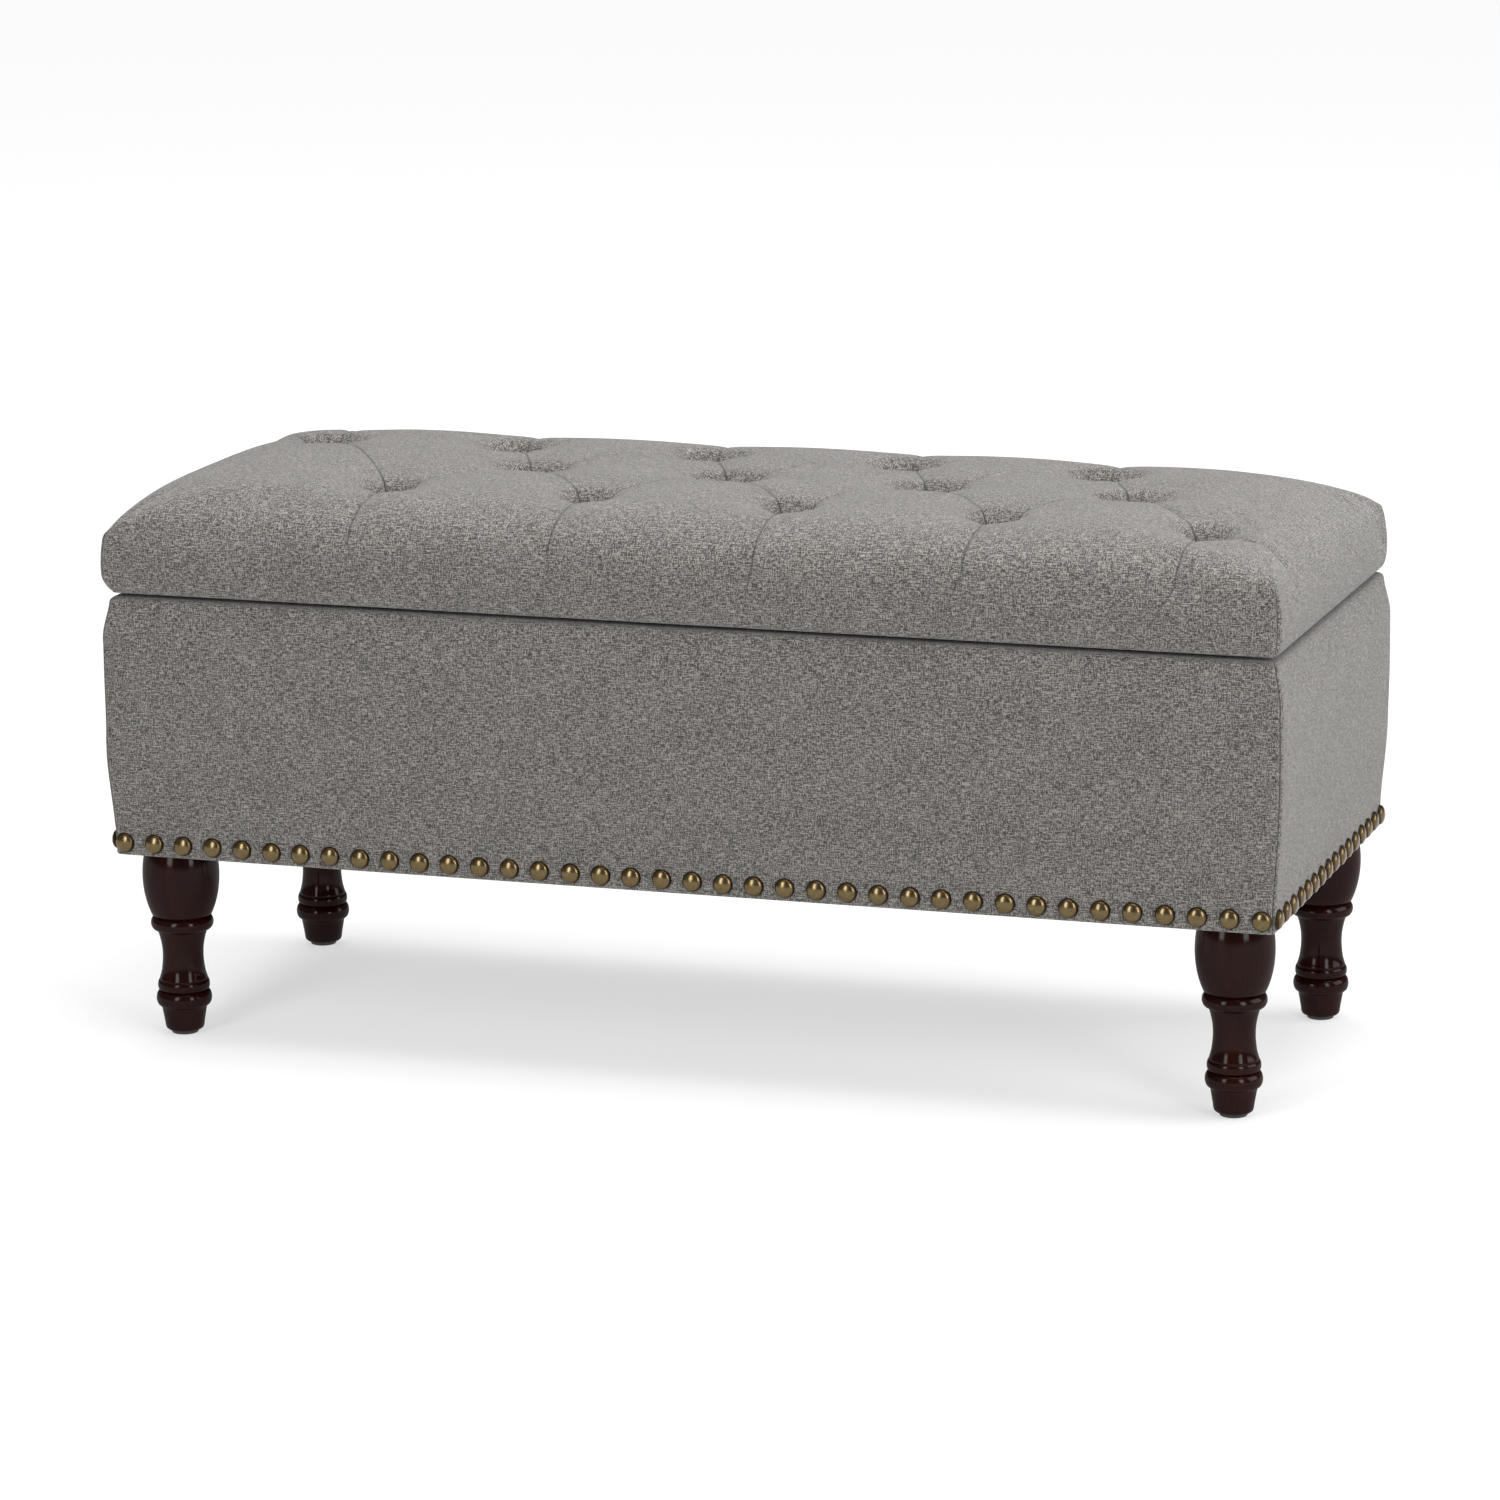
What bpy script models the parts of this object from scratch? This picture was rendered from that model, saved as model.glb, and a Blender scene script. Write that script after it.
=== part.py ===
"""Upholstered storage bench: a fabric-covered box on four turned legs, with a hinged, tufted lid.

Metres, +Z up. X runs along the bench, the front face looks along -Y, and the origin is on the
floor under the middle of the bench.
"""

from math import cos, exp, pi, sin, sqrt

import bmesh
import bpy
from mathutils import Matrix, Vector

# Overall sizes
LENGTH = 1.000
DEPTH = 0.400
BOX_BOTTOM = 0.162  # underside of the box above the floor
BOX_TOP = 0.383
LID_BOTTOM = BOX_TOP + 0.003
LID_SHOULDER = 0.441  # where the lid's sides turn into its crown
LID_CROWN = 0.037  # rise of the crown above the shoulder

# Stock thicknesses and clearances
GAP = 0.0003  # between pieces that touch
FABRIC = 0.0025  # cover cloth with its thin wadding
PLY = 0.015
LINING = 0.0012
TOP_TURN_IN = 0.018  # how far the cover is folded over the rim
BOTTOM_TURN_IN = 0.009  # and under the box
LID_TURN_IN = 0.030  # and under the lid
FOAM_INSET = 0.002  # the foam is cut this much smaller than the lid board

# Legs
LEG_INSET = 0.0415  # leg axis from the box's outer faces
LEG_TOP = BOX_BOTTOM + 0.001
GLIDE_HEIGHT = 0.003
BOLT_RADIUS = 0.004
BOLT_HOLE_RADIUS = 0.0044
BOLT_BOTTOM = 0.1385
BOLT_TOP = 0.205
POST = 0.047  # side of the square corner posts

# Tufts: three staggered rows
TUFT_PITCH = 0.175
TUFT_ROW = 0.11  # outer rows from the middle row
TUFT_DEPTH = 0.026
TUFT_SPREAD = 0.030
TUFTS = (
    [(-0.280 + TUFT_PITCH * k, -TUFT_ROW) for k in range(5)]
    + [(-0.1925 + TUFT_PITCH * k, 0.0) for k in range(4)]
    + [(-0.420 + TUFT_PITCH * k, TUFT_ROW) for k in range(5)]
)
TWINE_RADIUS = 0.0012
TWINE_BOTTOM = 0.3925

# Decorative nails
NAIL_RADIUS = 0.0075
NAIL_HEIGHT = 0.0042
NAIL_ABOVE_EDGE = 0.0115
NAIL_STRIP = 0.0006  # thickness of the strip that carries them
FRONT_NAILS = 38
FRONT_PITCH = 0.0265
SIDE_NAILS = 16
SIDE_PITCH = 0.0253

# Hinges
HINGE_Y = DEPTH / 2 + 0.0037
HINGE_Z = (BOX_TOP + LID_BOTTOM) / 2
HINGE_X = 0.300
HINGE_LENGTH = 0.064
KNUCKLE_RADIUS = 0.0032
HINGE_PIN_RADIUS = 0.0014
HINGE_BORE_RADIUS = 0.0018
LEAF = 0.0010
LEAF_WIDTH = 0.024

# Lid stays: a parallelogram of hinge axis, wall pivot, elbow and lid pivot
WALL_PIVOT = (HINGE_Y - 0.085, HINGE_Z - 0.085)
LID_PIVOT = (HINGE_Y - 0.100, HINGE_Z - 0.0125)
ELBOW = (WALL_PIVOT[0] - 0.100, WALL_PIVOT[1] - 0.0125)
STAY_PLATE = 0.0020
STAY_ARM = 0.0025
STAY_ARM_RADIUS = 0.008
RIVET_RADIUS = 0.0025
RIVET_HOLE_RADIUS = 0.0028
RIVET_HEAD_RADIUS = 0.0045

# Outer half sizes of the layers, from the outside in
HALF_X = LENGTH / 2
HALF_Y = DEPTH / 2
WALL_X = HALF_X - FABRIC - GAP
WALL_Y = HALF_Y - FABRIC - GAP
ROOM_X = WALL_X - PLY - GAP
ROOM_Y = WALL_Y - PLY - GAP
LEG_X = HALF_X - LEG_INSET
LEG_Y = HALF_Y - LEG_INSET
CORNERS = {
    "front_left": (-1, -1),
    "front_right": (1, -1),
    "back_left": (-1, 1),
    "back_right": (1, 1),
}


def clear_scene():
    for obj in list(bpy.data.objects):
        bpy.data.objects.remove(obj, do_unlink=True)


def new_collection(name):
    collection = bpy.data.collections.new(name)
    bpy.context.scene.collection.children.link(collection)
    return collection


def new_material(name, color, roughness, metallic=0.0):
    material = bpy.data.materials.new(name)
    material.use_nodes = True
    shader = material.node_tree.nodes["Principled BSDF"]
    shader.inputs["Base Color"].default_value = (*color, 1.0)
    shader.inputs["Roughness"].default_value = roughness
    shader.inputs["Metallic"].default_value = metallic
    return material


clear_scene()
BENCH = new_collection("storage_bench")
CUTTERS = new_collection("cutters")

CLOTH = new_material("cover_cloth", (0.21, 0.205, 0.195), 0.92)
BLACK_CLOTH = new_material("black_lining", (0.012, 0.012, 0.013), 0.95)
WOOD = new_material("espresso_wood", (0.017, 0.009, 0.007), 0.32)
PLYWOOD = new_material("plywood", (0.47, 0.33, 0.19), 0.6)
FOAM = new_material("foam", (0.75, 0.68, 0.48), 0.95)
BRASS = new_material("antique_brass", (0.33, 0.23, 0.10), 0.35, 1.0)
STEEL = new_material("zinc_steel", (0.55, 0.55, 0.53), 0.3, 1.0)
DARK_STEEL = new_material("black_steel", (0.03, 0.03, 0.032), 0.4, 0.9)
PLASTIC = new_material("black_plastic", (0.02, 0.02, 0.02), 0.5)

HINGE_AXIS = bpy.data.objects.new("lid_hinge_axis", None)
HINGE_AXIS.location = (0, HINGE_Y, HINGE_Z)
BENCH.objects.link(HINGE_AXIS)


def add_object(name, mesh_tools, location, material, collection=BENCH):
    """An object whose mesh is what mesh_tools holds, in coordinates about its location."""
    mesh = bpy.data.meshes.new(name)
    mesh_tools.to_mesh(mesh)
    mesh_tools.free()
    obj = bpy.data.objects.new(name, mesh)
    obj.location = location
    collection.objects.link(obj)
    if material:
        mesh.materials.append(material)
    if collection is CUTTERS:
        obj.hide_render = True
        obj.display_type = "WIRE"
    return obj


def hang_on_lid(obj):
    """The piece turns with the lid."""
    obj.parent = HINGE_AXIS
    obj.location = obj.location - HINGE_AXIS.location
    return obj


def block(name, low, high, material, collection=BENCH):
    low, high = Vector(low), Vector(high)
    tools = bmesh.new()
    bmesh.ops.create_cube(tools, size=1.0)
    bmesh.ops.scale(tools, vec=high - low, verts=tools.verts)
    return add_object(name, tools, (low + high) / 2, material, collection)


def rod(name, center, radius, length, axis, material=None, collection=CUTTERS, segments=16):
    """A plain cylinder along X or Z."""
    tools = bmesh.new()
    turn = Matrix.Rotation(pi / 2, 4, "Y") if axis == "X" else Matrix.Identity(4)
    bmesh.ops.create_cone(
        tools,
        cap_ends=True,
        segments=segments,
        radius1=radius,
        radius2=radius,
        depth=length,
        matrix=turn,
    )
    return add_object(name, tools, center, material, collection)


def turned(name, profile, steps, location, material):
    """A lathe-turned piece about Z. The profile is (radius, height), top to bottom."""
    tools = bmesh.new()
    points = [tools.verts.new((radius, 0, height)) for radius, height in profile]
    for first, second in zip(points, points[1:]):
        tools.edges.new((first, second))
    obj = add_object(name, tools, location, material)
    screw = obj.modifiers.new("Turn", "SCREW")
    screw.steps = screw.render_steps = steps
    screw.use_merge_vertices = True
    screw.merge_threshold = 0.0001
    screw.use_smooth_shade = True
    return obj


def combine(obj, other, operation):
    boolean = obj.modifiers.new(operation.title(), "BOOLEAN")
    boolean.operation = operation
    boolean.solver = "EXACT"
    boolean.object = other


def smooth(obj, angle=0.6):
    obj.data.shade_smooth()
    obj.data.set_sharp_from_angle(angle=angle)


# ---------------------------------------------------------------- box


def make_panels():
    low, high = BOX_BOTTOM + FABRIC + GAP, BOX_TOP - FABRIC - GAP
    inner_x, inner_y = WALL_X - PLY, WALL_Y - PLY
    block("front_panel", (-WALL_X, -WALL_Y, low), (WALL_X, -inner_y, high), PLYWOOD)
    block("back_panel", (-WALL_X, inner_y, low), (WALL_X, WALL_Y, high), PLYWOOD)
    block("left_panel", (-WALL_X, -ROOM_Y, low), (-inner_x, ROOM_Y, high), PLYWOOD)
    block("right_panel", (inner_x, -ROOM_Y, low), (WALL_X, ROOM_Y, high), PLYWOOD)
    return block("floor_panel", (-ROOM_X, -ROOM_Y, low), (ROOM_X, ROOM_Y, low + PLY), PLYWOOD)


def make_dust_cover():
    inset = BOTTOM_TURN_IN + GAP
    top = BOX_BOTTOM + FABRIC
    low = (inset - HALF_X, inset - HALF_Y, top - LINING)
    high = (HALF_X - inset, HALF_Y - inset, top)
    return block("dust_cover", low, high, BLACK_CLOTH)


def make_corner_post(corner, side_x, side_y, hole):
    bottom = BOX_BOTTOM + FABRIC + PLY + 2 * GAP
    top = BOX_TOP - FABRIC - GAP
    near = (side_x * (ROOM_X - POST), side_y * (ROOM_Y - POST))
    far = (side_x * ROOM_X, side_y * ROOM_Y)
    low = (min(near[0], far[0]), min(near[1], far[1]), bottom)
    high = (max(near[0], far[0]), max(near[1], far[1]), top)
    post = block("corner_post_" + corner, low, high, PLYWOOD)
    combine(post, hole, "DIFFERENCE")


def make_body_cover():
    """A sleeve of cover cloth, folded in over the rim and under the box."""
    tools = bmesh.new()
    bmesh.ops.create_cube(tools, size=1.0)
    height = BOX_TOP - BOX_BOTTOM
    bmesh.ops.scale(tools, vec=(LENGTH, DEPTH, height), verts=tools.verts)
    ends = [face for face in tools.faces if abs(face.normal.z) > 0.9]
    for end in ends:
        turn_in = TOP_TURN_IN if end.normal.z > 0 else BOTTOM_TURN_IN
        bmesh.ops.inset_region(tools, faces=[end], thickness=turn_in)
        bmesh.ops.delete(tools, geom=[end], context="FACES")
    middle = (0, 0, (BOX_TOP + BOX_BOTTOM) / 2)
    cover = add_object("body_cover", tools, middle, CLOTH)
    thicken(cover, FABRIC)


def thicken(obj, thickness, offset=-1.0):
    solidify = obj.modifiers.new("Thickness", "SOLIDIFY")
    solidify.thickness = thickness
    solidify.offset = offset
    solidify.use_even_offset = True


def make_storage_lining():
    """Lining cloth over the floor and up the walls, round the corner posts."""
    bottom = BOX_BOTTOM + FABRIC + PLY + 2 * GAP
    top = BOX_TOP - 0.001
    post = POST + GAP
    columns = (-ROOM_X, post - ROOM_X, ROOM_X - post, ROOM_X)
    rows = (-ROOM_Y, post - ROOM_Y, ROOM_Y - post, ROOM_Y)
    tools = bmesh.new()
    bmesh.ops.create_grid(tools, x_segments=3, y_segments=3, size=1.5)
    for vert in tools.verts:
        column, row = round(vert.co.x + 1.5), round(vert.co.y + 1.5)
        vert.co = (columns[column], rows[row], 0)
    center = (ROOM_X - post, ROOM_Y - post)
    corners = [
        face
        for face in tools.faces
        if abs(face.calc_center_median().x) > center[0]
        and abs(face.calc_center_median().y) > center[1]
    ]
    bmesh.ops.delete(tools, geom=corners, context="FACES")
    rim = [edge for edge in tools.edges if edge.is_boundary]
    walls = bmesh.ops.extrude_edge_only(tools, edges=rim)["geom"]
    raised = [part for part in walls if isinstance(part, bmesh.types.BMVert)]
    bmesh.ops.translate(tools, vec=(0, 0, top - bottom), verts=raised)
    bmesh.ops.recalc_face_normals(tools, faces=tools.faces)
    lining = add_object("storage_lining", tools, (0, 0, bottom), BLACK_CLOTH)
    thicken(lining, LINING)


# ---------------------------------------------------------------- legs


def bulge(top, bottom, edge_radius, middle_radius, count):
    """Points down a half ellipse that swells (or sinks) between two heights."""
    middle, half = (top + bottom) / 2, (top - bottom) / 2
    angles = [pi * k / (count - 1) for k in range(count)]
    swell = middle_radius - edge_radius
    return [(edge_radius + swell * sin(a), middle + half * cos(a)) for a in angles]


def leg_profile():
    ball_height, ball_half, ball_radius = 0.139, 0.0555, 0.0326
    ball_heights = [0.163 - 0.059 * k / 5 for k in range(6)]
    ball = [
        (ball_radius * sqrt(1 - ((z - ball_height) / ball_half) ** 2), z) for z in ball_heights
    ]
    socket = [(0, BOLT_BOTTOM - 0.001), (BOLT_HOLE_RADIUS, BOLT_BOTTOM - 0.001)]
    socket.append((BOLT_HOLE_RADIUS, LEG_TOP))
    upper_ring = bulge(0.103, 0.091, 0.0225, 0.0265, 5)
    neck = [(0.0213, 0.0895), (0.0187, 0.080), (0.01735, 0.068), (0.0183, 0.056)]
    lip = [(0.0214, 0.0475), (0.0218, 0.042), (0.0207, 0.0385)]
    lower_ring = bulge(0.038, 0.025, 0.0202, 0.0235, 4)
    taper = [(0.0195, 0.0245), (0.0160, 0.0055), (0.0142, GLIDE_HEIGHT + GAP)]
    nail_hole = [(0.0023, GLIDE_HEIGHT + GAP), (0.0023, 0.0145), (0, 0.0145)]
    return socket + ball + upper_ring + neck + lip + lower_ring + taper + nail_hole


def make_leg(corner, side_x, side_y):
    place = (side_x * LEG_X, side_y * LEG_Y, 0)
    turned("leg_" + corner, leg_profile(), 12, place, WOOD)
    bolt = [(0, BOLT_TOP), (BOLT_RADIUS, BOLT_TOP), (BOLT_RADIUS, BOLT_BOTTOM), (0, BOLT_BOTTOM)]
    turned("leg_bolt_" + corner, bolt, 10, place, STEEL)
    glide = [(0, 0.013), (0.0018, 0.013), (0.0018, GLIDE_HEIGHT), (0.0115, GLIDE_HEIGHT)]
    glide += [(0.0115, 0.0006), (0.0109, 0), (0, 0)]
    turned("foot_glide_" + corner, glide, 10, place, PLASTIC)


# ---------------------------------------------------------------- decorative nails


def make_nail_row(name, start, step, count, facing):
    """Domed nails on a thin strip. facing is the outward direction of the face they are on."""
    start, step, facing = Vector(start), Vector(step), Vector(facing)
    turn = facing.to_track_quat("Z", "Y").to_matrix().to_4x4()
    heads = bmesh.new()
    for k in range(count):
        middle = start + step * k + facing * (NAIL_HEIGHT / 2 + NAIL_STRIP / 2)
        bmesh.ops.create_cone(
            heads,
            cap_ends=True,
            segments=6,
            radius1=NAIL_RADIUS,
            radius2=NAIL_RADIUS * 0.45,
            depth=NAIL_HEIGHT,
            matrix=Matrix.Translation(middle) @ turn,
        )
    domes = add_object(name + "_domes", heads, (0, 0, 0), None, CUTTERS)
    end = start + step * (count - 1)
    half = Vector((0, 0, 0.002))
    low = [min(a, b) for a, b in zip(start - half, end - half)]
    high = [max(a, b) for a, b in zip(start + half + facing * NAIL_STRIP, end + half)]
    low = [min(a, b) for a, b in zip(low, start + facing * NAIL_STRIP - half)]
    high = [max(a, b) for a, b in zip(high, end + half + facing * NAIL_STRIP)]
    row = block(name, low, high, BRASS)
    combine(row, domes, "UNION")


def make_nails():
    height = BOX_BOTTOM + NAIL_ABOVE_EDGE
    front = (-FRONT_PITCH * (FRONT_NAILS - 1) / 2, -HALF_Y - GAP, height)
    make_nail_row("nail_row_front", front, (FRONT_PITCH, 0, 0), FRONT_NAILS, (0, -1, 0))
    for name, side in (("nail_row_left", -1), ("nail_row_right", 1)):
        start = (side * (HALF_X + GAP), -SIDE_PITCH * (SIDE_NAILS - 1) / 2, height)
        make_nail_row(name, start, (0, SIDE_PITCH, 0), SIDE_NAILS, (side, 0, 0))


# ---------------------------------------------------------------- lid


def crown_height(x, y):
    """Top of the lid without its tufts, above the shoulder."""
    across = max(0.0, 1 - abs(y / HALF_Y) ** 5)
    along = max(0.0, 1 - abs(x / HALF_X) ** 10)
    return LID_CROWN * sqrt(across * along)


def tuft_dip(x, y):
    nearest = min((x - tx) ** 2 + (y - ty) ** 2 for tx, ty in TUFTS)
    return TUFT_DEPTH * exp(-nearest / TUFT_SPREAD**2)


def top_grid(half_x, half_y, drop):
    """The tufted top as an open grid. Its lines lean by half a cell so that they meet every tuft."""
    cell_x, cell_y = TUFT_PITCH / 5, TUFT_ROW / 4
    columns = [-half_x] + [cell_x * k for k in range(-14, 15)] + [half_x]
    rows = [-half_y] + [cell_y * k for k in range(-7, 8)] + [half_y]
    tools = bmesh.new()
    count_x, count_y = len(columns) - 1, len(rows) - 1
    bmesh.ops.create_grid(tools, x_segments=count_x, y_segments=count_y, size=1.0)
    for vert in tools.verts:
        column = round((vert.co.x + 1) / 2 * count_x)
        row = round((vert.co.y + 1) / 2 * count_y)
        x, y = columns[column], rows[row]
        if 1 < column < count_x - 1:
            x += cell_x / 2 * max(0.0, 1 - abs(y) / TUFT_ROW)
        crown = crown_height(x * HALF_X / half_x, y * HALF_Y / half_y)
        vert.co = (x, y, LID_SHOULDER + crown - tuft_dip(x, y) - drop)
    bmesh.ops.triangulate(tools, faces=tools.faces, quad_method="FIXED")
    return tools


def extrude_rim(tools, move):
    rim = [edge for edge in tools.edges if edge.is_boundary]
    result = bmesh.ops.extrude_edge_only(tools, edges=rim)["geom"]
    for vert in (part for part in result if isinstance(part, bmesh.types.BMVert)):
        vert.co = move(vert.co)


def make_lid_cover(twine_holes):
    tools = top_grid(HALF_X, HALF_Y, 0)
    extrude_rim(tools, lambda co: (co.x, co.y, LID_BOTTOM))
    flat_x, flat_y = HALF_X - LID_TURN_IN, HALF_Y - LID_TURN_IN

    def fold_under(co):
        return (max(-flat_x, min(flat_x, co.x)), max(-flat_y, min(flat_y, co.y)), LID_BOTTOM)

    extrude_rim(tools, fold_under)
    bmesh.ops.remove_doubles(tools, verts=tools.verts, dist=1e-6)
    bmesh.ops.recalc_face_normals(tools, faces=tools.faces)
    cover = add_object("lid_cover", tools, (0, 0, 0), CLOTH)
    thicken(cover, FABRIC)
    combine(cover, twine_holes, "DIFFERENCE")
    hang_on_lid(cover)
    smooth(cover)


def make_lid_foam(bottom, twine_holes):
    tools = top_grid(WALL_X - FOAM_INSET, WALL_Y - FOAM_INSET, FABRIC + 0.0015)
    extrude_rim(tools, lambda co: (co.x, co.y, bottom))
    rim = [edge for edge in tools.edges if edge.is_boundary]
    bmesh.ops.contextual_create(tools, geom=rim)
    bmesh.ops.recalc_face_normals(tools, faces=tools.faces)
    foam = add_object("lid_foam", tools, (0, 0, 0), FOAM)
    combine(foam, twine_holes, "DIFFERENCE")
    hang_on_lid(foam)
    smooth(foam)


def make_twine_holes():
    tools = bmesh.new()
    low, high = LID_BOTTOM + FABRIC - 0.001, LID_SHOULDER + LID_CROWN
    for x, y in TUFTS:
        bmesh.ops.create_cone(
            tools,
            cap_ends=True,
            segments=6,
            radius1=1.5 * TWINE_RADIUS,
            radius2=1.5 * TWINE_RADIUS,
            depth=high - low,
            matrix=Matrix.Translation((x, y, (low + high) / 2)),
        )
    return add_object("twine_holes", tools, (0, 0, 0), None, CUTTERS)


def make_lid():
    holes = make_twine_holes()
    board_low = LID_BOTTOM + FABRIC + GAP
    board_high = board_low + PLY
    low, high = (-WALL_X, -WALL_Y, board_low), (WALL_X, WALL_Y, board_high)
    board = block("lid_board", low, high, PLYWOOD)
    combine(board, holes, "DIFFERENCE")
    hang_on_lid(board)
    make_lid_foam(board_high + GAP, holes)
    make_lid_cover(holes)
    inner_x, inner_y = HALF_X - LID_TURN_IN - GAP, HALF_Y - LID_TURN_IN - GAP
    lining_top = LID_BOTTOM + FABRIC
    lining_low = (-inner_x, -inner_y, lining_top - LINING)
    hang_on_lid(block("lid_lining", lining_low, (inner_x, inner_y, lining_top), BLACK_CLOTH))
    for number, (x, y) in enumerate(TUFTS, start=1):
        seat = LID_SHOULDER + crown_height(x, y) - TUFT_DEPTH
        button = [(0, 0.0132), (0.0055, 0.0125), (0.0095, 0.0105), (0.0100, 0.0092)]
        button += [(TWINE_RADIUS, 0.0018), (TWINE_RADIUS, TWINE_BOTTOM - seat)]
        button.append((0, TWINE_BOTTOM - seat))
        name = f"tuft_button_{number:02d}"
        hang_on_lid(turned(name, button, 8, (x, y, seat), CLOTH))


# ---------------------------------------------------------------- hinges


def make_leaf(name, x, low, high, knuckles, bore):
    """A stamped leaf with rolled knuckles; knuckles are (start, end) about the hinge's middle."""
    front = HINGE_Y - KNUCKLE_RADIUS - 0.0005
    half = HINGE_LENGTH / 2
    leaf = block(name, (x - half, front - LEAF_WIDTH, low), (x + half, front, high), STEEL)
    for number, (start, end) in enumerate(knuckles):
        operand = f"{name}_knuckle_{number}"
        middle = x + (start + end) / 2
        tongue_low = (x + start, front - 0.002, low)
        tongue = block(operand + "_tongue", tongue_low, (x + end, HINGE_Y, high), None, CUTTERS)
        combine(leaf, tongue, "UNION")
        barrel = (middle, HINGE_Y, HINGE_Z)
        roll = rod(operand, barrel, KNUCKLE_RADIUS, end - start, "X")
        combine(leaf, roll, "UNION")
    combine(leaf, bore, "DIFFERENCE")
    return leaf


def make_hinge(side_name, side):
    x = side * HINGE_X
    half, lid_half, clear = HINGE_LENGTH / 2, 0.0106, 0.0004
    bore_center = (x, HINGE_Y, HINGE_Z)
    bore = rod("hinge_bore_" + side_name, bore_center, HINGE_BORE_RADIUS, 0.080, "X")
    body_low = BOX_TOP + GAP
    outer = [(-half, -lid_half - clear), (lid_half + clear, half)]
    make_leaf("hinge_body_leaf_" + side_name, x, body_low, body_low + LEAF, outer, bore)
    lid_high = LID_BOTTOM - GAP
    inner = [(-lid_half, lid_half)]
    leaf_name = "hinge_lid_leaf_" + side_name
    hang_on_lid(make_leaf(leaf_name, x, lid_high - LEAF, lid_high, inner, bore))
    end, head, radius = half + GAP, half + 0.0013, HINGE_PIN_RADIUS
    profile = [(0, head), (0.0024, head), (0.0024, end), (radius, end)]
    profile += [(r, -z) for r, z in reversed(profile)]
    pin = turned("hinge_pin_" + side_name, profile, 12, bore_center, STEEL)
    pin.rotation_euler = (0, pi / 2, 0)


# ---------------------------------------------------------------- lid stays


def bar(name, origin, points, layer, radius, material, collection=BENCH):
    """A flat bar with round ends through (y, z) points, between two X values."""
    tools = bmesh.new()
    origin = Vector(origin)
    middle, depth = (layer[0] + layer[1]) / 2, abs(layer[1] - layer[0])
    for y, z in points:
        center = Vector((middle, y, z)) - origin
        matrix = Matrix.Translation(center) @ Matrix.Rotation(pi / 2, 4, "Y")
        bmesh.ops.create_cone(
            tools,
            cap_ends=True,
            segments=12,
            radius1=radius,
            radius2=radius,
            depth=depth,
            matrix=matrix,
        )
    if len(points) > 1:
        hull = bmesh.ops.convex_hull(tools, input=tools.verts)
        bmesh.ops.delete(tools, geom=hull["geom_interior"], context="VERTS")
        bmesh.ops.delete(tools, geom=hull["geom_unused"], context="VERTS")
        bmesh.ops.dissolve_limit(tools, angle_limit=0.01, verts=tools.verts, edges=tools.edges)
    return add_object(name, tools, origin, material, collection)


def add_rivet(obj, name, pivot, start, shank_end, head_end):
    """A rivet set in obj at start: its shank passes the next layer and its head closes it."""
    shank = bar(name + "_shank", (0, 0, 0), [pivot], (start, head_end), RIVET_RADIUS, None, CUTTERS)
    combine(obj, shank, "UNION")
    head_layer = (shank_end, head_end)
    head = bar(name + "_head", (0, 0, 0), [pivot], head_layer, RIVET_HEAD_RADIUS, None, CUTTERS)
    combine(obj, head, "UNION")


def drill(obj, name, pivot, layer):
    start, end = layer
    reach = (start - 0.01 if start < end else start + 0.01, end + 0.01 if start < end else end - 0.01)
    hole = bar(name, (0, 0, 0), [pivot], reach, RIVET_HOLE_RADIUS, None, CUTTERS)
    combine(obj, hole, "DIFFERENCE")


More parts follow.
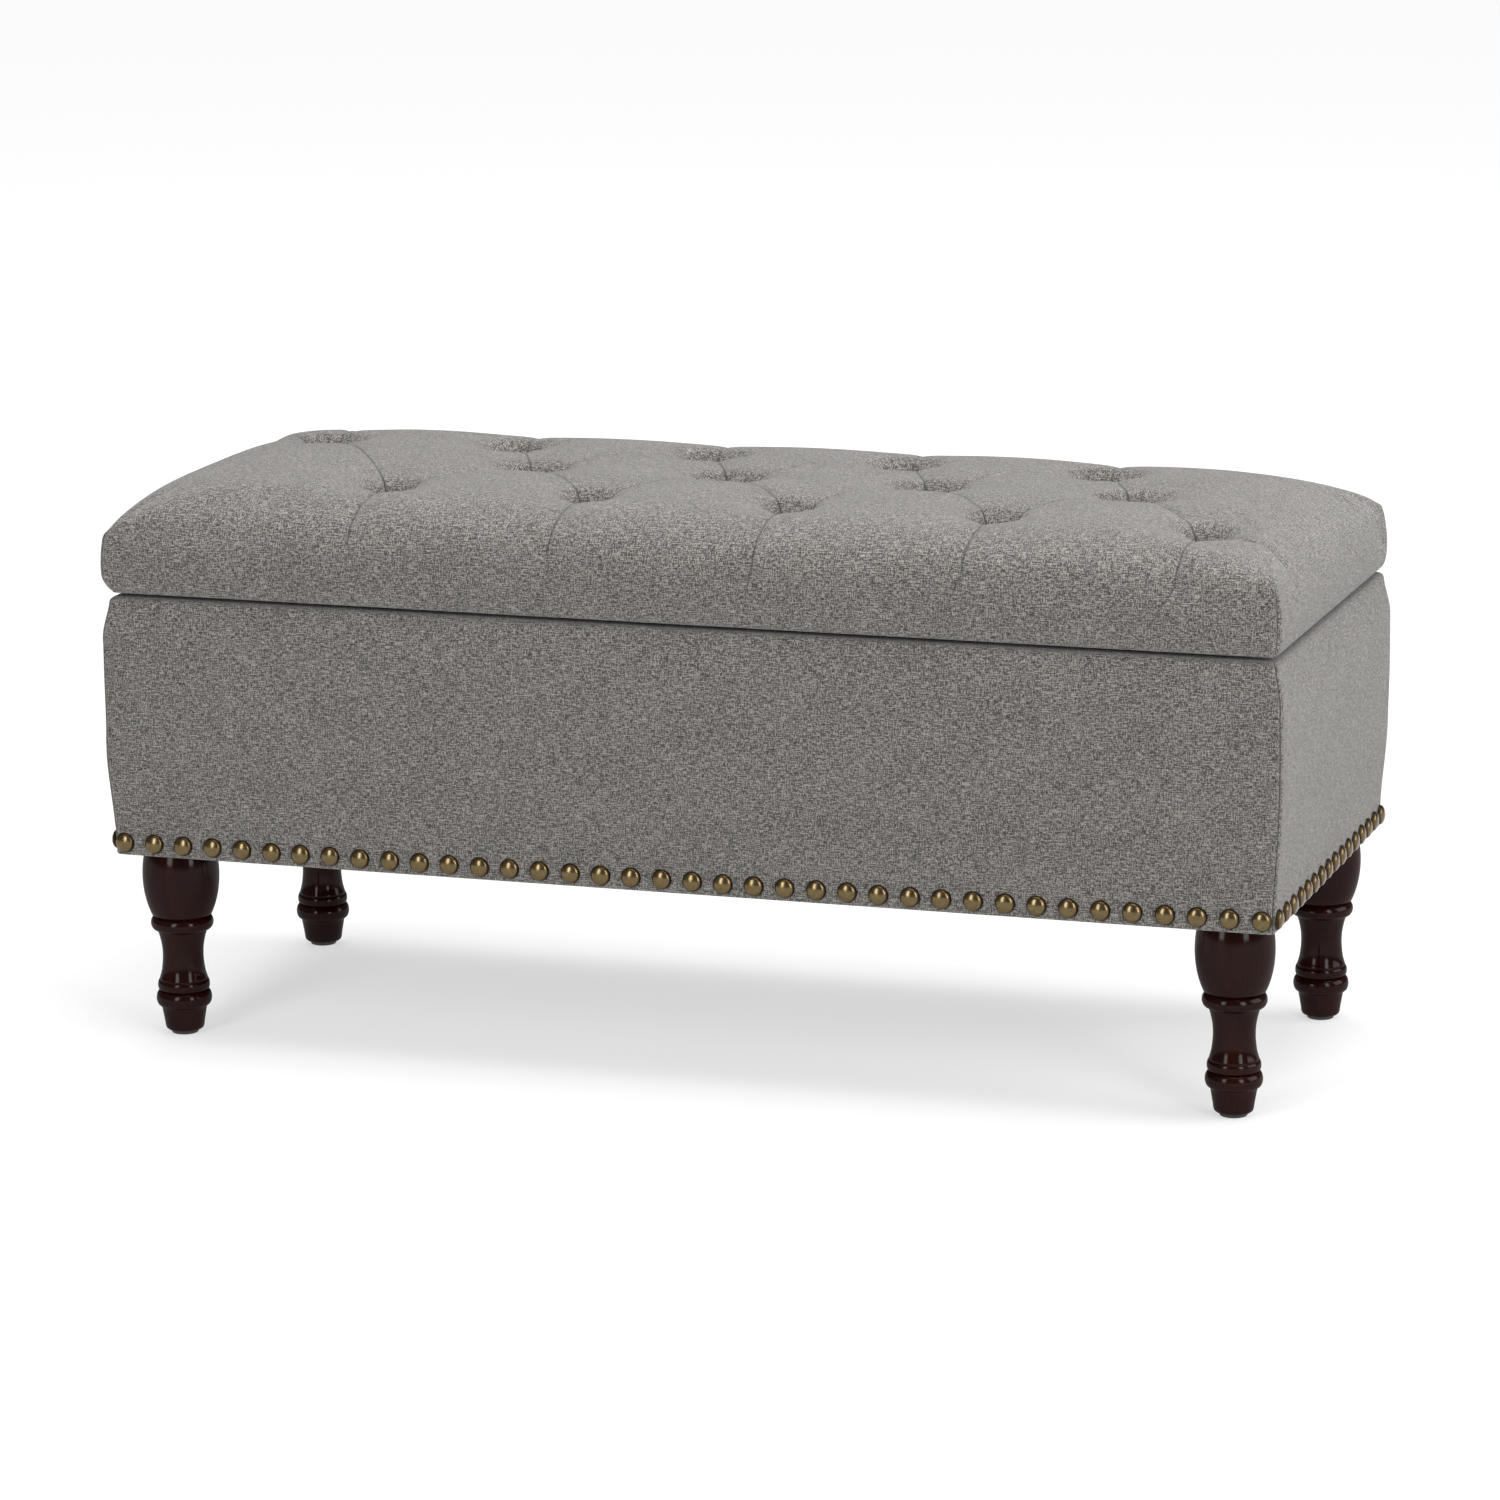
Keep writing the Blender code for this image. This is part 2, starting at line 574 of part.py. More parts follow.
def make_stay(side_name, side):
    """Layers run from the side wall inwards: wall plate, lower arm, upper arm, lid bracket."""
    plate_0 = ROOM_X - LINING - GAP
    plate_1 = plate_0 - STAY_PLATE
    lower_0 = plate_1 - GAP
    lower_1 = lower_0 - STAY_ARM
    upper_0 = lower_1 - GAP
    upper_1 = upper_0 - STAY_ARM
    bracket_0 = upper_1 - GAP
    bracket_1 = bracket_0 - STAY_PLATE
    head = 0.0018

    y, z = WALL_PIVOT
    near, far = sorted((side * plate_0, side * plate_1))
    plate_name = "stay_wall_plate_" + side_name
    plate = block(plate_name, (near, y - 0.015, z - 0.022), (far, y + 0.0145, z + 0.022), DARK_STEEL)
    middle = side * (plate_0 + plate_1) / 2
    ends = [side * value for value in (upper_0, upper_0 - head)]
    add_rivet(plate, plate_name, WALL_PIVOT, middle, *ends)

    lower_name = "stay_lower_arm_" + side_name
    layer = (side * lower_0, side * lower_1)
    origin = (sum(layer) / 2, *WALL_PIVOT)
    arm_ends = [WALL_PIVOT, ELBOW]
    lower = bar(lower_name, origin, arm_ends, layer, STAY_ARM_RADIUS, DARK_STEEL)
    drill(lower, lower_name + "_hole", WALL_PIVOT, layer)
    ends = [side * value for value in (bracket_0, bracket_0 - head)]
    add_rivet(lower, lower_name, ELBOW, sum(layer) / 2, *ends)

    upper_name = "stay_upper_arm_" + side_name
    layer = (side * upper_0, side * upper_1)
    origin = (sum(layer) / 2, *LID_PIVOT)
    upper = bar(upper_name, origin, [LID_PIVOT, ELBOW], layer, STAY_ARM_RADIUS, DARK_STEEL)
    drill(upper, upper_name + "_elbow_hole", ELBOW, layer)
    drill(upper, upper_name + "_lid_hole", LID_PIVOT, layer)

    bracket_name = "stay_lid_bracket_" + side_name
    y, z = LID_PIVOT
    top = LID_BOTTOM - GAP
    near, far = sorted((side * bracket_0, side * bracket_1))
    low, high = (near, y - 0.013, z - 0.008), (far, y + 0.013, top)
    bracket = block(bracket_name, low, high, DARK_STEEL)
    near, far = sorted((side * bracket_0, side * (bracket_0 - 0.020)))
    low, high = (near, y - 0.013, top - STAY_PLATE), (far, y + 0.013, top)
    foot = block(bracket_name + "_foot", low, high, None, CUTTERS)
    combine(bracket, foot, "UNION")
    middle = side * (bracket_0 + bracket_1) / 2
    ends = [side * value for value in (lower_1, lower_1 + head)]
    add_rivet(bracket, bracket_name, LID_PIVOT, middle, *ends)
    hang_on_lid(bracket)


# ---------------------------------------------------------------- whole bench


def make_bench():
    floor_panel = make_panels()
    dust_cover = make_dust_cover()
    hole_low, hole_high = BOX_BOTTOM - 0.001, BOLT_TOP + 0.0015
    for corner, (side_x, side_y) in CORNERS.items():
        center = (side_x * LEG_X, side_y * LEG_Y, (hole_low + hole_high) / 2)
        depth = hole_high - hole_low
        hole = rod("bolt_hole_" + corner, center, BOLT_HOLE_RADIUS, depth, "Z", segments=10)
        combine(floor_panel, hole, "DIFFERENCE")
        combine(dust_cover, hole, "DIFFERENCE")
        make_corner_post(corner, side_x, side_y, hole)
        make_leg(corner, side_x, side_y)
    make_body_cover()
    make_storage_lining()
    make_nails()
    make_lid()
    for side_name, side in (("left", -1), ("right", 1)):
        make_hinge(side_name, side)
        make_stay(side_name, side)


make_bench()
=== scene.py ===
from math import atan2, cos, exp, hypot, pi, radians, sin, sqrt
from random import Random

import bmesh
import bpy
from mathutils import Matrix, Vector, noise


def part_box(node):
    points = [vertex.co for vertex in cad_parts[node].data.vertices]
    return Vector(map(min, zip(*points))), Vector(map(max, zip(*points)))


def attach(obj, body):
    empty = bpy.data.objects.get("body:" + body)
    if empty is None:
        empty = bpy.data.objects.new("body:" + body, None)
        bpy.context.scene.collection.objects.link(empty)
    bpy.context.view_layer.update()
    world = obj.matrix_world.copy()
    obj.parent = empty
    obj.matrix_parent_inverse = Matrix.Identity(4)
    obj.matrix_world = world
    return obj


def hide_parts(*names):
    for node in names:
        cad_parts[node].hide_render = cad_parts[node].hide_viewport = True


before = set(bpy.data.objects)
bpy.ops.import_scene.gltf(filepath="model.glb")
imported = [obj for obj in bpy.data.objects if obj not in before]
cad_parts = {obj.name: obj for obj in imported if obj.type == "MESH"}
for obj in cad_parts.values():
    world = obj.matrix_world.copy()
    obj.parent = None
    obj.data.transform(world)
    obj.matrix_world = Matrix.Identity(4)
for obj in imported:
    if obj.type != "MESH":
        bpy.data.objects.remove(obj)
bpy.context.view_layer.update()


# Studio: a white sweep under the bench that glows as painted light, dim near the bench and
# brighter further out, a broad ceiling softbox, one large softbox to the right, and two tall strips
# in front that leave the paired glints on the nails and legs.
# The camera stands to the right of the middle, a little above the lid.
CAMERA_PLACE = Vector((1.5658, -4.8180, 1.3678))
CAMERA_AZIMUTH, CAMERA_ELEVATION, CAMERA_ROLL = radians(18.02), radians(12.55), radians(-0.45)
CAMERA_LENS, SENSOR = 147.2, 36.0
WORLD_STRENGTH = 0.25
SWEEP_NEAR, SWEEP_FAR = 1.1, 3.2  # the sweep glows more from one to the other of these distances
SWEEP_DIM, SWEEP_BRIGHT, SWEEP_GREY = 0.58, 0.86, 0.36
SOFTBOXES = (  # name, place, aim, width, height, watts
    ("ceiling_softbox", (0.05, 0.25, 3.2), (0, 0.1, 0.3), 3.4, 2.4, 152),
    ("right_softbox", (3.6, 0.5, 1.6), (0.3, 0, 0.3), 2.6, 2.4, 86),
    ("front_left_softbox", (-0.88, -2.72, 1.30), (0, 0, 0.3), 0.75, 2.10, 44),
    ("front_right_softbox", (2.32, -2.02, 1.30), (0, 0, 0.3), 0.75, 2.10, 44),
)


class Shade:
    """A shader socket: arithmetic on it adds Math nodes, and add() puts in any other node."""

    def __init__(self, tree, socket=None):
        self.tree, self.socket = tree, socket

    def add(self, kind, settings=None, sockets=None, output=0):
        node = self.tree.nodes.new("ShaderNode" + kind)
        for name, value in (settings or {}).items():
            if name == "stops":
                ramp = node.color_ramp.elements
                while len(ramp) < len(value):
                    ramp.new(1.0)
                for element, (position, color) in zip(ramp, value):
                    element.position, element.color = position, color
            else:
                setattr(node, name, value)
        for name, value in (sockets or {}).items():
            if isinstance(value, Shade):
                self.tree.links.new(value.socket, node.inputs[name])
            else:
                node.inputs[name].default_value = value
        return Shade(self.tree, node.outputs[output])

    def math(self, operation, *values):
        return self.add("Math", {"operation": operation}, dict(enumerate(values)))

    def __add__(self, other):
        return self.math("ADD", self, other)

    def __sub__(self, other):
        return self.math("SUBTRACT", self, other)

    def __rsub__(self, other):
        return self.math("SUBTRACT", other, self)

    def __mul__(self, other):
        return self.math("MULTIPLY", self, other)

    def __truediv__(self, other):
        return self.math("DIVIDE", self, other)

    def __gt__(self, other):
        return self.math("GREATER_THAN", self, other)

    def __abs__(self):
        return self.math("ABSOLUTE", self)

    __radd__, __rmul__ = __add__, __mul__

    def clipped(self):
        """The value kept between 0 and 1."""
        return self.math("MINIMUM", self.math("MAXIMUM", self, 0.0), 1.0)

    def mix(self, low, high):
        """low where this is 0 and high where it is 1, for colours."""
        return self.add("Mix", {"data_type": "RGBA"}, {0: self, 6: low, 7: high}, output=2)

    def place(self):
        """The three coordinates of a point of the piece."""
        point = self.add("TexCoord", output=3)
        return [self.add("SeparateXYZ", None, {0: point}, output=k) for k in range(3)]

    def streaks(self, along, across, length, width, seed, detail=1.0):
        """Noise drawn out along one direction, about 0.5 everywhere."""
        where = self.add("CombineXYZ", None, {0: along / length, 1: across / width, 2: seed})
        return self.add("TexNoise", None, {"Vector": where, "Scale": 1.0, "Detail": detail})

    def stored(self, name):
        """A number kept at each point of the mesh."""
        return self.add("Attribute", {"attribute_name": name}, output=2)


def new_finish(name, **values):
    """A material, its Principled shader with those constant values, and a Shade to start from."""
    material = bpy.data.materials.new(name)
    material.use_nodes = True
    shader = material.node_tree.nodes["Principled BSDF"]
    for socket, value in values.items():
        shader.inputs[socket.replace("_", " ")].default_value = value
    return material, shader, Shade(material.node_tree)


def feed(shader, socket, value):
    shader.id_data.links.new(value.socket, shader.inputs[socket])


def add_camera():
    back = Vector((
        sin(CAMERA_AZIMUTH) * cos(CAMERA_ELEVATION),
        -cos(CAMERA_AZIMUTH) * cos(CAMERA_ELEVATION),
        sin(CAMERA_ELEVATION),
    ))
    level = Vector((cos(CAMERA_AZIMUTH), sin(CAMERA_AZIMUTH), 0))
    right = level * cos(CAMERA_ROLL) + back.cross(level) * sin(CAMERA_ROLL)
    axes = Matrix((right, back.cross(right), back)).transposed()
    bpy.ops.object.camera_add(location=CAMERA_PLACE, rotation=axes.to_euler())
    camera = bpy.context.object
    camera.data.sensor_width = SENSOR
    camera.data.lens = CAMERA_LENS
    bpy.context.scene.camera = camera


def add_softbox(name, place, aim, width, height, power):
    direction = Vector(aim) - Vector(place)
    bpy.ops.object.light_add(type="AREA", location=place)
    light = bpy.context.object
    light.name = name
    light.rotation_euler = direction.to_track_quat("-Z", "Y").to_euler()
    light.data.shape = "RECTANGLE"
    light.data.size, light.data.size_y = width, height
    light.data.energy = power


def add_sweep():
    bpy.ops.object.select_all(action="DESELECT")
    bpy.ops.mesh.primitive_plane_add(size=60)
    sweep = bpy.context.object
    sweep.name = "studio_floor"
    white = (1, 1, 1, 1)
    paper, shader, start = new_finish("glowing_white_paper", Roughness=0.9, Emission_Color=white)
    shader.inputs["Specular IOR Level"].default_value = 0.0
    shader.inputs["Base Color"].default_value = (SWEEP_GREY, SWEEP_GREY, SWEEP_GREY, 1)
    # Painted light: the paper glows though it is no lamp, dim near the bench and brighter further
    # out.
    x, y = start.place()[:2]
    reach = start.math("SQRT", x * x + y * y)
    far = (reach - SWEEP_NEAR) / (SWEEP_FAR - SWEEP_NEAR)
    glow = SWEEP_DIM + far.clipped() * (SWEEP_BRIGHT - SWEEP_DIM)
    shader.inputs["Emission Strength"].default_value = 1.0
    grey = start.add("CombineXYZ", None, {0: glow, 1: glow, 2: glow})
    feed(shader, "Emission Color", grey)
    sweep.data.materials.append(paper)


add_camera()
for softbox in SOFTBOXES:
    add_softbox(*softbox)
world = bpy.context.scene.world or bpy.data.worlds.new("studio")
bpy.context.scene.world = world
world.use_nodes = True
world.node_tree.nodes["Background"].inputs["Color"].default_value = (1, 1, 1, 1)
world.node_tree.nodes["Background"].inputs["Strength"].default_value = WORLD_STRENGTH
bpy.context.scene.view_settings.view_transform = "Standard"
add_sweep()


# Carcass: four plywood walls glued and screwed to solid pine posts in the corners, and a plywood
# floor. Cloth and lining cover nearly all of it.
PLY_PALE, PLY_DARK = (0.60, 0.44, 0.27, 1), (0.40, 0.26, 0.14, 1)
PINE_PALE, PINE_DARK = (0.66, 0.47, 0.27, 1), (0.44, 0.26, 0.12, 1)


def make_grain(name, pale, dark, upright):
    """Sawn wood: the grain runs along the piece, or up it where upright."""
    material, shader, start = new_finish(name, Roughness=0.62)
    x, y, z = start.place()
    along, across = (z, x + y) if upright else (x + y * 0.7, z + y * 0.6)
    lines = start.streaks(along, across, 0.22, 0.0035, 5.0, 3.0)
    fine = start.streaks(along, across, 0.03, 0.0008, 11.0)
    tone = (lines * 1.1 + fine * 0.35 - 0.22).clipped()
    feed(shader, "Base Color", tone.mix(dark, pale))
    bump = {"Strength": 0.25, "Distance": 0.0004, "Height": fine + lines}
    feed(shader, "Normal", start.add("Bump", None, bump))
    return material


def dress(material, *names):
    """Gives carried-over parts a finish."""
    for name in names:
        part = bpy.data.objects[name]
        part.data.materials.clear()
        part.data.materials.append(material)


CORNERS = ("front_left", "front_right", "back_left", "back_right")
dress(
    make_grain("birch_plywood", PLY_PALE, PLY_DARK, False),
    "front_panel", "back_panel", "left_panel", "right_panel", "floor_panel", "lid_board",
)
dress(
    make_grain("pine_post", PINE_PALE, PINE_DARK, True),
    *("corner_post_" + corner for corner in CORNERS),
)


# Box cover: heathered grey linen-look upholstery cloth over thin wadding, pulled tight round the
# plywood box, folded in over the rim and stapled under the floor. The four corners are sewn, and
# the cloth swells slightly towards the rim.
CLOTH_YARN = 0.00095  # spacing of the yarns
THREAD, SLUB = 0.00070, 0.00085  # how wide the streaks of tone and the thick places in it are
CLOTH_DARK = (0.027, 0.024, 0.021, 1)
CLOTH_MID = (0.089, 0.083, 0.075, 1)
CLOTH_LIGHT = (0.235, 0.221, 0.204, 1)
CREASE_SHADE_COLOR = (0.014, 0.013, 0.012, 1)
PLEAT_WIDTH, SEAM_WIDTH = 0.0017, 0.0015  # from the middle of the painted dark shade line along a pleat or seam to its edge
PUCKER_STEP, PUCKER_REACH = 0.0062, 0.011  # the small gathers along a sewn corner


def line_mask(way, hold, width):
    """1 along a line whose signed distance is way, falling to 0 at width, times its strength."""
    near = (1 - abs(way) / width).clipped()
    return near * near * (3 - 2 * near) * hold


def make_cover_cloth():
    material, shader, start = new_finish("cover_cloth", Roughness=0.92, Sheen_Weight=0.2)
    shader.inputs["Specular IOR Level"].default_value = 0.15
    shader.inputs["Sheen Roughness"].default_value = 0.6
    x, y, z = start.place()
    facing = start.add("TexCoord", output=1)
    nx, ny, nz = (abs(start.add("SeparateXYZ", None, {0: facing}, output=k)) for k in range(3))
    on_end = nx > start.math("MAXIMUM", ny, nz)
    on_top = nz > start.math("MAXIMUM", nx, ny)
    u = x * (1 - on_end) + y * on_end
    v = z * (1 - on_top) + y * on_top

    # Tones of the two sets of yarns and of the thick places in them, fuzz, and uneven dyeing.
    weft_tone = start.streaks(u, v, 0.0038, THREAD, 3.0)
    warp_tone = start.streaks(v, u, 0.0030, THREAD, 17.0)
    weft_slub = start.streaks(u, v, 0.0110, SLUB, 31.0)
    warp_slub = start.streaks(v, u, 0.0095, SLUB, 47.0)
    mottle = start.streaks(u, v, 0.0011, 0.0009, 59.0)
    cloud = start.streaks(u, v, 0.060, 0.035, 71.0)

    warp_turn = start.math("SINE", u * (pi / CLOTH_YARN))
    weft_turn = start.math("SINE", v * (pi / CLOTH_YARN))
    weft_over = (warp_turn * weft_turn) > 0.0
    tone = weft_tone * weft_over + warp_tone * (1 - weft_over)
    tone = 0.5 + (tone - 0.5) * 1.6 + (weft_tone + warp_tone - 1.0) * 1.4
    tone = tone + (mottle - 0.5) * 1.5 + (cloud - 0.5) * 0.2
    tone = tone + (weft_slub - 0.5) * 1.3 + (warp_slub - 0.5) * 1.0
    bright = start.math("MAXIMUM", weft_slub - 0.64, 0.0) * 4.0
    bright = bright + start.math("MAXIMUM", warp_slub - 0.67, 0.0) * 3.2
    tone = tone + bright

    # Painted shade: a near-black line along each pleat and sewn corner, standing for the shade in
    # the crease; the same mask also sinks the bump.
    pleat = line_mask(start.stored("pleat_a_way"), start.stored("pleat_a_hold"), PLEAT_WIDTH)
    other = line_mask(start.stored("pleat_b_way"), start.stored("pleat_b_hold"), PLEAT_WIDTH)
    seam_way, seam_hold = start.stored("seam_way"), start.stored("seam_hold")
    seam = line_mask(seam_way, seam_hold, SEAM_WIDTH)
    shaded_crease = start.math("MAXIMUM", start.math("MAXIMUM", pleat, other), seam)
    stops = [(0.10, CLOTH_DARK), (0.50, CLOTH_MID), (0.95, CLOTH_LIGHT)]
    color = start.add("ValToRGB", {"stops": stops}, {0: tone})
    feed(shader, "Base Color", (shaded_crease * 0.95).mix(color, CREASE_SHADE_COLOR))

    pucker = start.math("SINE", z * (2 * pi / PUCKER_STEP))
    pucker = pucker * line_mask(seam_way, seam_hold, PUCKER_REACH)
    weave = abs(warp_turn) * (1 - weft_over) + abs(weft_turn) * weft_over
    height = weave * 0.40 + mottle * 0.7 + weft_slub + warp_slub - shaded_crease * 1.2 + pucker * 0.45
    bump = {"Strength": 0.6, "Distance": 0.0006, "Height": height}
    feed(shader, "Normal", start.add("Bump", None, bump))
    return material


COVER_CLOTH = make_cover_cloth()


def begin(name):
    """Takes a primitive just added, names it and puts its place into its mesh."""
    piece = bpy.context.object
    piece.name = piece.data.name = name
    bpy.ops.object.transform_apply(location=True, rotation=True, scale=True)
    return piece


def only(piece):
    bpy.ops.object.select_all(action="DESELECT")
    piece.select_set(True)
    bpy.context.view_layer.objects.active = piece


def edit(piece, kind, chosen):
    """Edit mode on the piece, with the faces or edges for which chosen is true selected."""
    only(piece)
    bpy.ops.object.mode_set(mode="EDIT")
    bpy.ops.mesh.select_mode(type=kind)
    bpy.ops.mesh.select_all(action="DESELECT")
    tools = bmesh.from_edit_mesh(piece.data)
    for part in tools.faces if kind == "FACE" else tools.edges:
        part.select_set(bool(chosen(part)))
    bmesh.update_edit_mesh(piece.data)


def done():
    bpy.ops.object.mode_set(mode="OBJECT")


def apply_all(piece):
    only(piece)
    for modifier in list(piece.modifiers):
        bpy.ops.object.modifier_apply(modifier=modifier.name)


def runs(edge, axis):
    """The edge lies along X, Y or Z."""
    step = edge.verts[0].co - edge.verts[1].co
    return abs(step[axis]) > 0.999 * step.length


def smoothstep(low, high, value):
    t = min(1.0, max(0.0, (value - low) / (high - low)))
    return t * t * (3 - 2 * t)


def store(piece, name, values):
    """Keeps one number at each point of the mesh."""
    kept = piece.data.attributes.new(name, "FLOAT", "POINT")
    kept.data.foreach_set("value", values)


def seam_distance(co, half):
    """Distance round the corner from a point of a wall to its corner seam, positive on the ends."""
    return (abs(co.x) - half.x) - (abs(co.y) - half.y)


COVER_LOW, COVER_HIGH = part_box("body_cover")
COVER_CORNER = 0.005
COVER_CELLS = (200, 80, 54)  # along, across and up the walls
COVER_RIM = (
    (0.0003, -0.0029), (0.0012, -0.0014), (0.0026, -0.0004), (0.0045, 0.0), (0.0080, 0.0),
    (0.0130, 0.0), (0.0180, 0.0),
)
COVER_FOOT = ((0.0004, 0.0011), (0.0012, 0.0003), (0.0025, 0.0), (0.0055, 0.0), (0.0090, 0.0))
RIM_DROP, FOOT_RISE = 0.0045, 0.0025
COVER_MIDDLE = 0.27  # a height between its two open edges
COVER_SWELL, COVER_CLOTH_THICKNESS = 0.0052, 0.0016
SEAM_SINK, SEAM_SIDE = 0.0008, 0.0022  # depth and half-width of the groove at a sewn corner


def inset_from(point, half, radius, inset):
    """A point of a round-cornered outline moved inwards, its corner kept round as it shrinks."""
    core = Vector((half.x - radius, half.y - radius))
    u = min(1, max(-1, point.x / core.x))
    v = min(1, max(-1, point.y / core.y))
    out = Vector((point.x - u * core.x, point.y - v * core.y)).normalized()
    left = max(radius - inset, 0.0004)
    shrunk = Vector((u * (half.x - inset - left), v * (half.y - inset - left)))
    return shrunk + out * left


def add_rings(cover, upper, rings, half):
    """Folds the upper or lower open edge of the cover in through rings of (inset, height)."""
    before = 0.0
    for inset, height in rings:
        edit(cover, "EDGE", lambda edge: (
            edge.is_boundary and (edge.verts[0].co.z > COVER_MIDDLE) == upper
        ))
        bpy.ops.mesh.extrude_edges_move(TRANSFORM_OT_translate={"value": (0, 0, 0)})
        tools = bmesh.from_edit_mesh(cover.data)
        outline = half - Vector((before, before))
        radius = max(COVER_CORNER - before, 0.0004)
        for vert in tools.verts:
            if vert.select:
                place = inset_from(vert.co, outline, radius, inset - before)
                vert.co = (place.x, place.y, height)
        bmesh.update_edit_mesh(cover.data)
        done()
        before = inset


def make_box_cover():
    low, high = Vector(COVER_LOW), Vector(COVER_HIGH)
    size = high - low
    foot, rim = low.z + FOOT_RISE, high.z - RIM_DROP
    middle = Vector((0, 0, (foot + rim) / 2))
    bpy.ops.object.select_all(action="DESELECT")
    bpy.ops.mesh.primitive_cube_add(size=1, location=middle, scale=(size.x, size.y, rim - foot))
    cover = begin("box_cover")

    edit(cover, "EDGE", lambda edge: runs(edge, 2))
    bpy.ops.mesh.bevel(offset=COVER_CORNER, segments=6, profile=0.5, affect="EDGES")
    done()
    edit(cover, "FACE", lambda face: abs(face.normal.z) > 0.9)
    bpy.ops.mesh.delete(type="ONLY_FACE")
    done()
    for axis, shortest, cuts in zip((0, 1, 2), (0.5, 0.2, 0.1), COVER_CELLS):
        edit(cover, "EDGE", lambda edge: runs(edge, axis) and edge.calc_length() > shortest)
        bpy.ops.mesh.subdivide(number_cuts=cuts)
        done()

    half = Vector((size.x / 2, size.y / 2))
    add_rings(cover, True, [(inset, high.z + drop) for inset, drop in COVER_RIM], half)
    add_rings(cover, False, [(inset, low.z + rise) for inset, rise in COVER_FOOT], half)

    ways = [seam_distance(vert.co, half) for vert in cover.data.vertices]
    holds = [1 - smoothstep(0.02, 0.03, abs(way)) for way in ways]
    for vert, way in zip(cover.data.vertices, ways):
        vert.co = swell(vert.co, way, low.z, high.z, half)
    store(cover, "seam_way", ways)
    store(cover, "seam_hold", holds)
    thicken = cover.modifiers.new("Thickness", "SOLIDIFY")
    thicken.thickness = COVER_CLOTH_THICKNESS
    thicken.offset = -1
    apply_all(cover)
    return cover


def swell(co, way, bottom, top, half):
    """Moves a point of a wall out over its wadding, and in along the corner seam."""
    up = (co.z - bottom) / (top - bottom)
    on_end, on_side = abs(co.x) > half.x - 0.0055, abs(co.y) > half.y - 0.0055
    if not (on_end or on_side) or up > 0.9985 or up < 0.001:
        return co
    rise = COVER_SWELL * smoothstep(0.0, 0.45, up) * (1 - smoothstep(0.84, 1.0, up))
    wander = noise.noise(Vector((co.x * 8, co.y * 8, co.z * 12))) * 0.0011
    wander = wander + noise.noise(Vector((co.x * 25, co.y * 25, co.z * 25))) * 0.0003
    out = rise + wander * smoothstep(0.0, 0.15, up) * (1 - smoothstep(0.88, 1.0, up))
    out -= SEAM_SINK * exp(-((way / SEAM_SIDE) ** 2)) * smoothstep(0, 0.05, up)
    point = Vector(co)
    if on_end:
        point.x += out * (1 if co.x > 0 else -1)
    if on_side:
        point.y += out * (1 if co.y > 0 else -1)
    return point


box_cover = make_box_cover()
box_cover.data.materials.append(COVER_CLOTH)
bpy.ops.object.shade_smooth_by_angle(angle=radians(60))
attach(box_cover, "box")
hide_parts("body_cover")


# Linings: thin black non-woven cloth, glued inside the box and stapled under the floor and
# under the lid.
DOT_STEP = 0.0022  # spacing of the bonded dots


def make_lining_cloth():
    material, shader, start = new_finish("black_lining", Roughness=0.88)
    shader.inputs["Specular IOR Level"].default_value = 0.2
    x, y, z = start.place()
    fibres = start.streaks(x + z * 0.6, y + z * 0.8, 0.0028, 0.0009, 7.0, 3.0)
    dots_x = start.math("SINE", (x + z) * (2 * pi / DOT_STEP))
    dots_y = start.math("SINE", (y + z) * (2 * pi / DOT_STEP))
    dots = (dots_x * dots_y) > 0.45
    tone = (fibres * 1.4 - 0.3 - dots * 0.18).clipped()
    feed(shader, "Base Color", tone.mix((0.007, 0.007, 0.008, 1), (0.030, 0.030, 0.032, 1)))
    bump = {"Strength": 0.4, "Distance": 0.0003, "Height": fibres - dots * 0.4}
    feed(shader, "Normal", start.add("Bump", None, bump))
    return material


dress(make_lining_cloth(), "storage_lining", "dust_cover", "lid_lining")


# Legs: turned hardwood in a dark espresso lacquer, a ball above two rings and a waisted neck.
# A steel hanger bolt in the top of each screws up into the floor and its corner post.
LEG_PLACE = (0.4585, 0.1585)
LEG_TOP, LEG_FOOT = 0.163, 0.0033
LEG_SIDES, LEG_TWIST = 56, 1.3  # each leg is turned on from the last, so their grain differs
BALL_FOOT, BALL_MIDDLE, BALL_HALF, BALL_RADIUS = 0.1038, 0.139, 0.0555, 0.0326


def turn(name, profile, sides):
    """A closed turned shape about Z, built ring by ring up from its foot: (radius, height)."""
    radius, height = profile[0]
    place = (0, 0, height)
    bpy.ops.object.select_all(action="DESELECT")
    bpy.ops.mesh.primitive_circle_add(
        vertices=sides, radius=radius, fill_type="NGON", location=place
    )
    piece = begin(name)
    edit(piece, "FACE", lambda face: True)
    for next_radius, next_height in profile[1:]:
        rise = {"value": (0, 0, next_height - height)}
        bpy.ops.mesh.extrude_region_move(TRANSFORM_OT_translate=rise)
        scale = next_radius / radius
        bpy.ops.transform.resize(value=(scale, scale, 1), center_override=(0, 0, next_height))
        radius, height = next_radius, next_height
    bpy.ops.mesh.select_all(action="SELECT")
    bpy.ops.mesh.normals_make_consistent(inside=False)
    done()
    return piece


def copies(piece, places):
    """The piece copied to each (name, matrix), and the pattern itself taken away."""
    made = []
    for name, matrix in places:
        twin = piece.copy()
        twin.data = piece.data.copy()
        twin.name = twin.data.name = name
        twin.data.transform(matrix)
        bpy.context.collection.objects.link(twin)
        made.append(twin)
    bpy.data.objects.remove(piece)
    return made


def through(points, steps):
    """Points on a smooth curve through the given ones."""
    made = []
    for k in range(len(points) - 1):
        before, start = points[max(k - 1, 0)], points[k]
        end, after = points[k + 1], points[min(k + 2, len(points) - 1)]
        for j in range(steps):
            t = j / steps
            made.append(tuple(
                0.5 * (2 * b + (c - a) * t + (2 * a - 5 * b + 4 * c - d) * t * t
                       + (3 * b - a - 3 * c + d) * t ** 3)
                for a, b, c, d in zip(before, start, end, after)
            ))
    return made + [points[-1]]


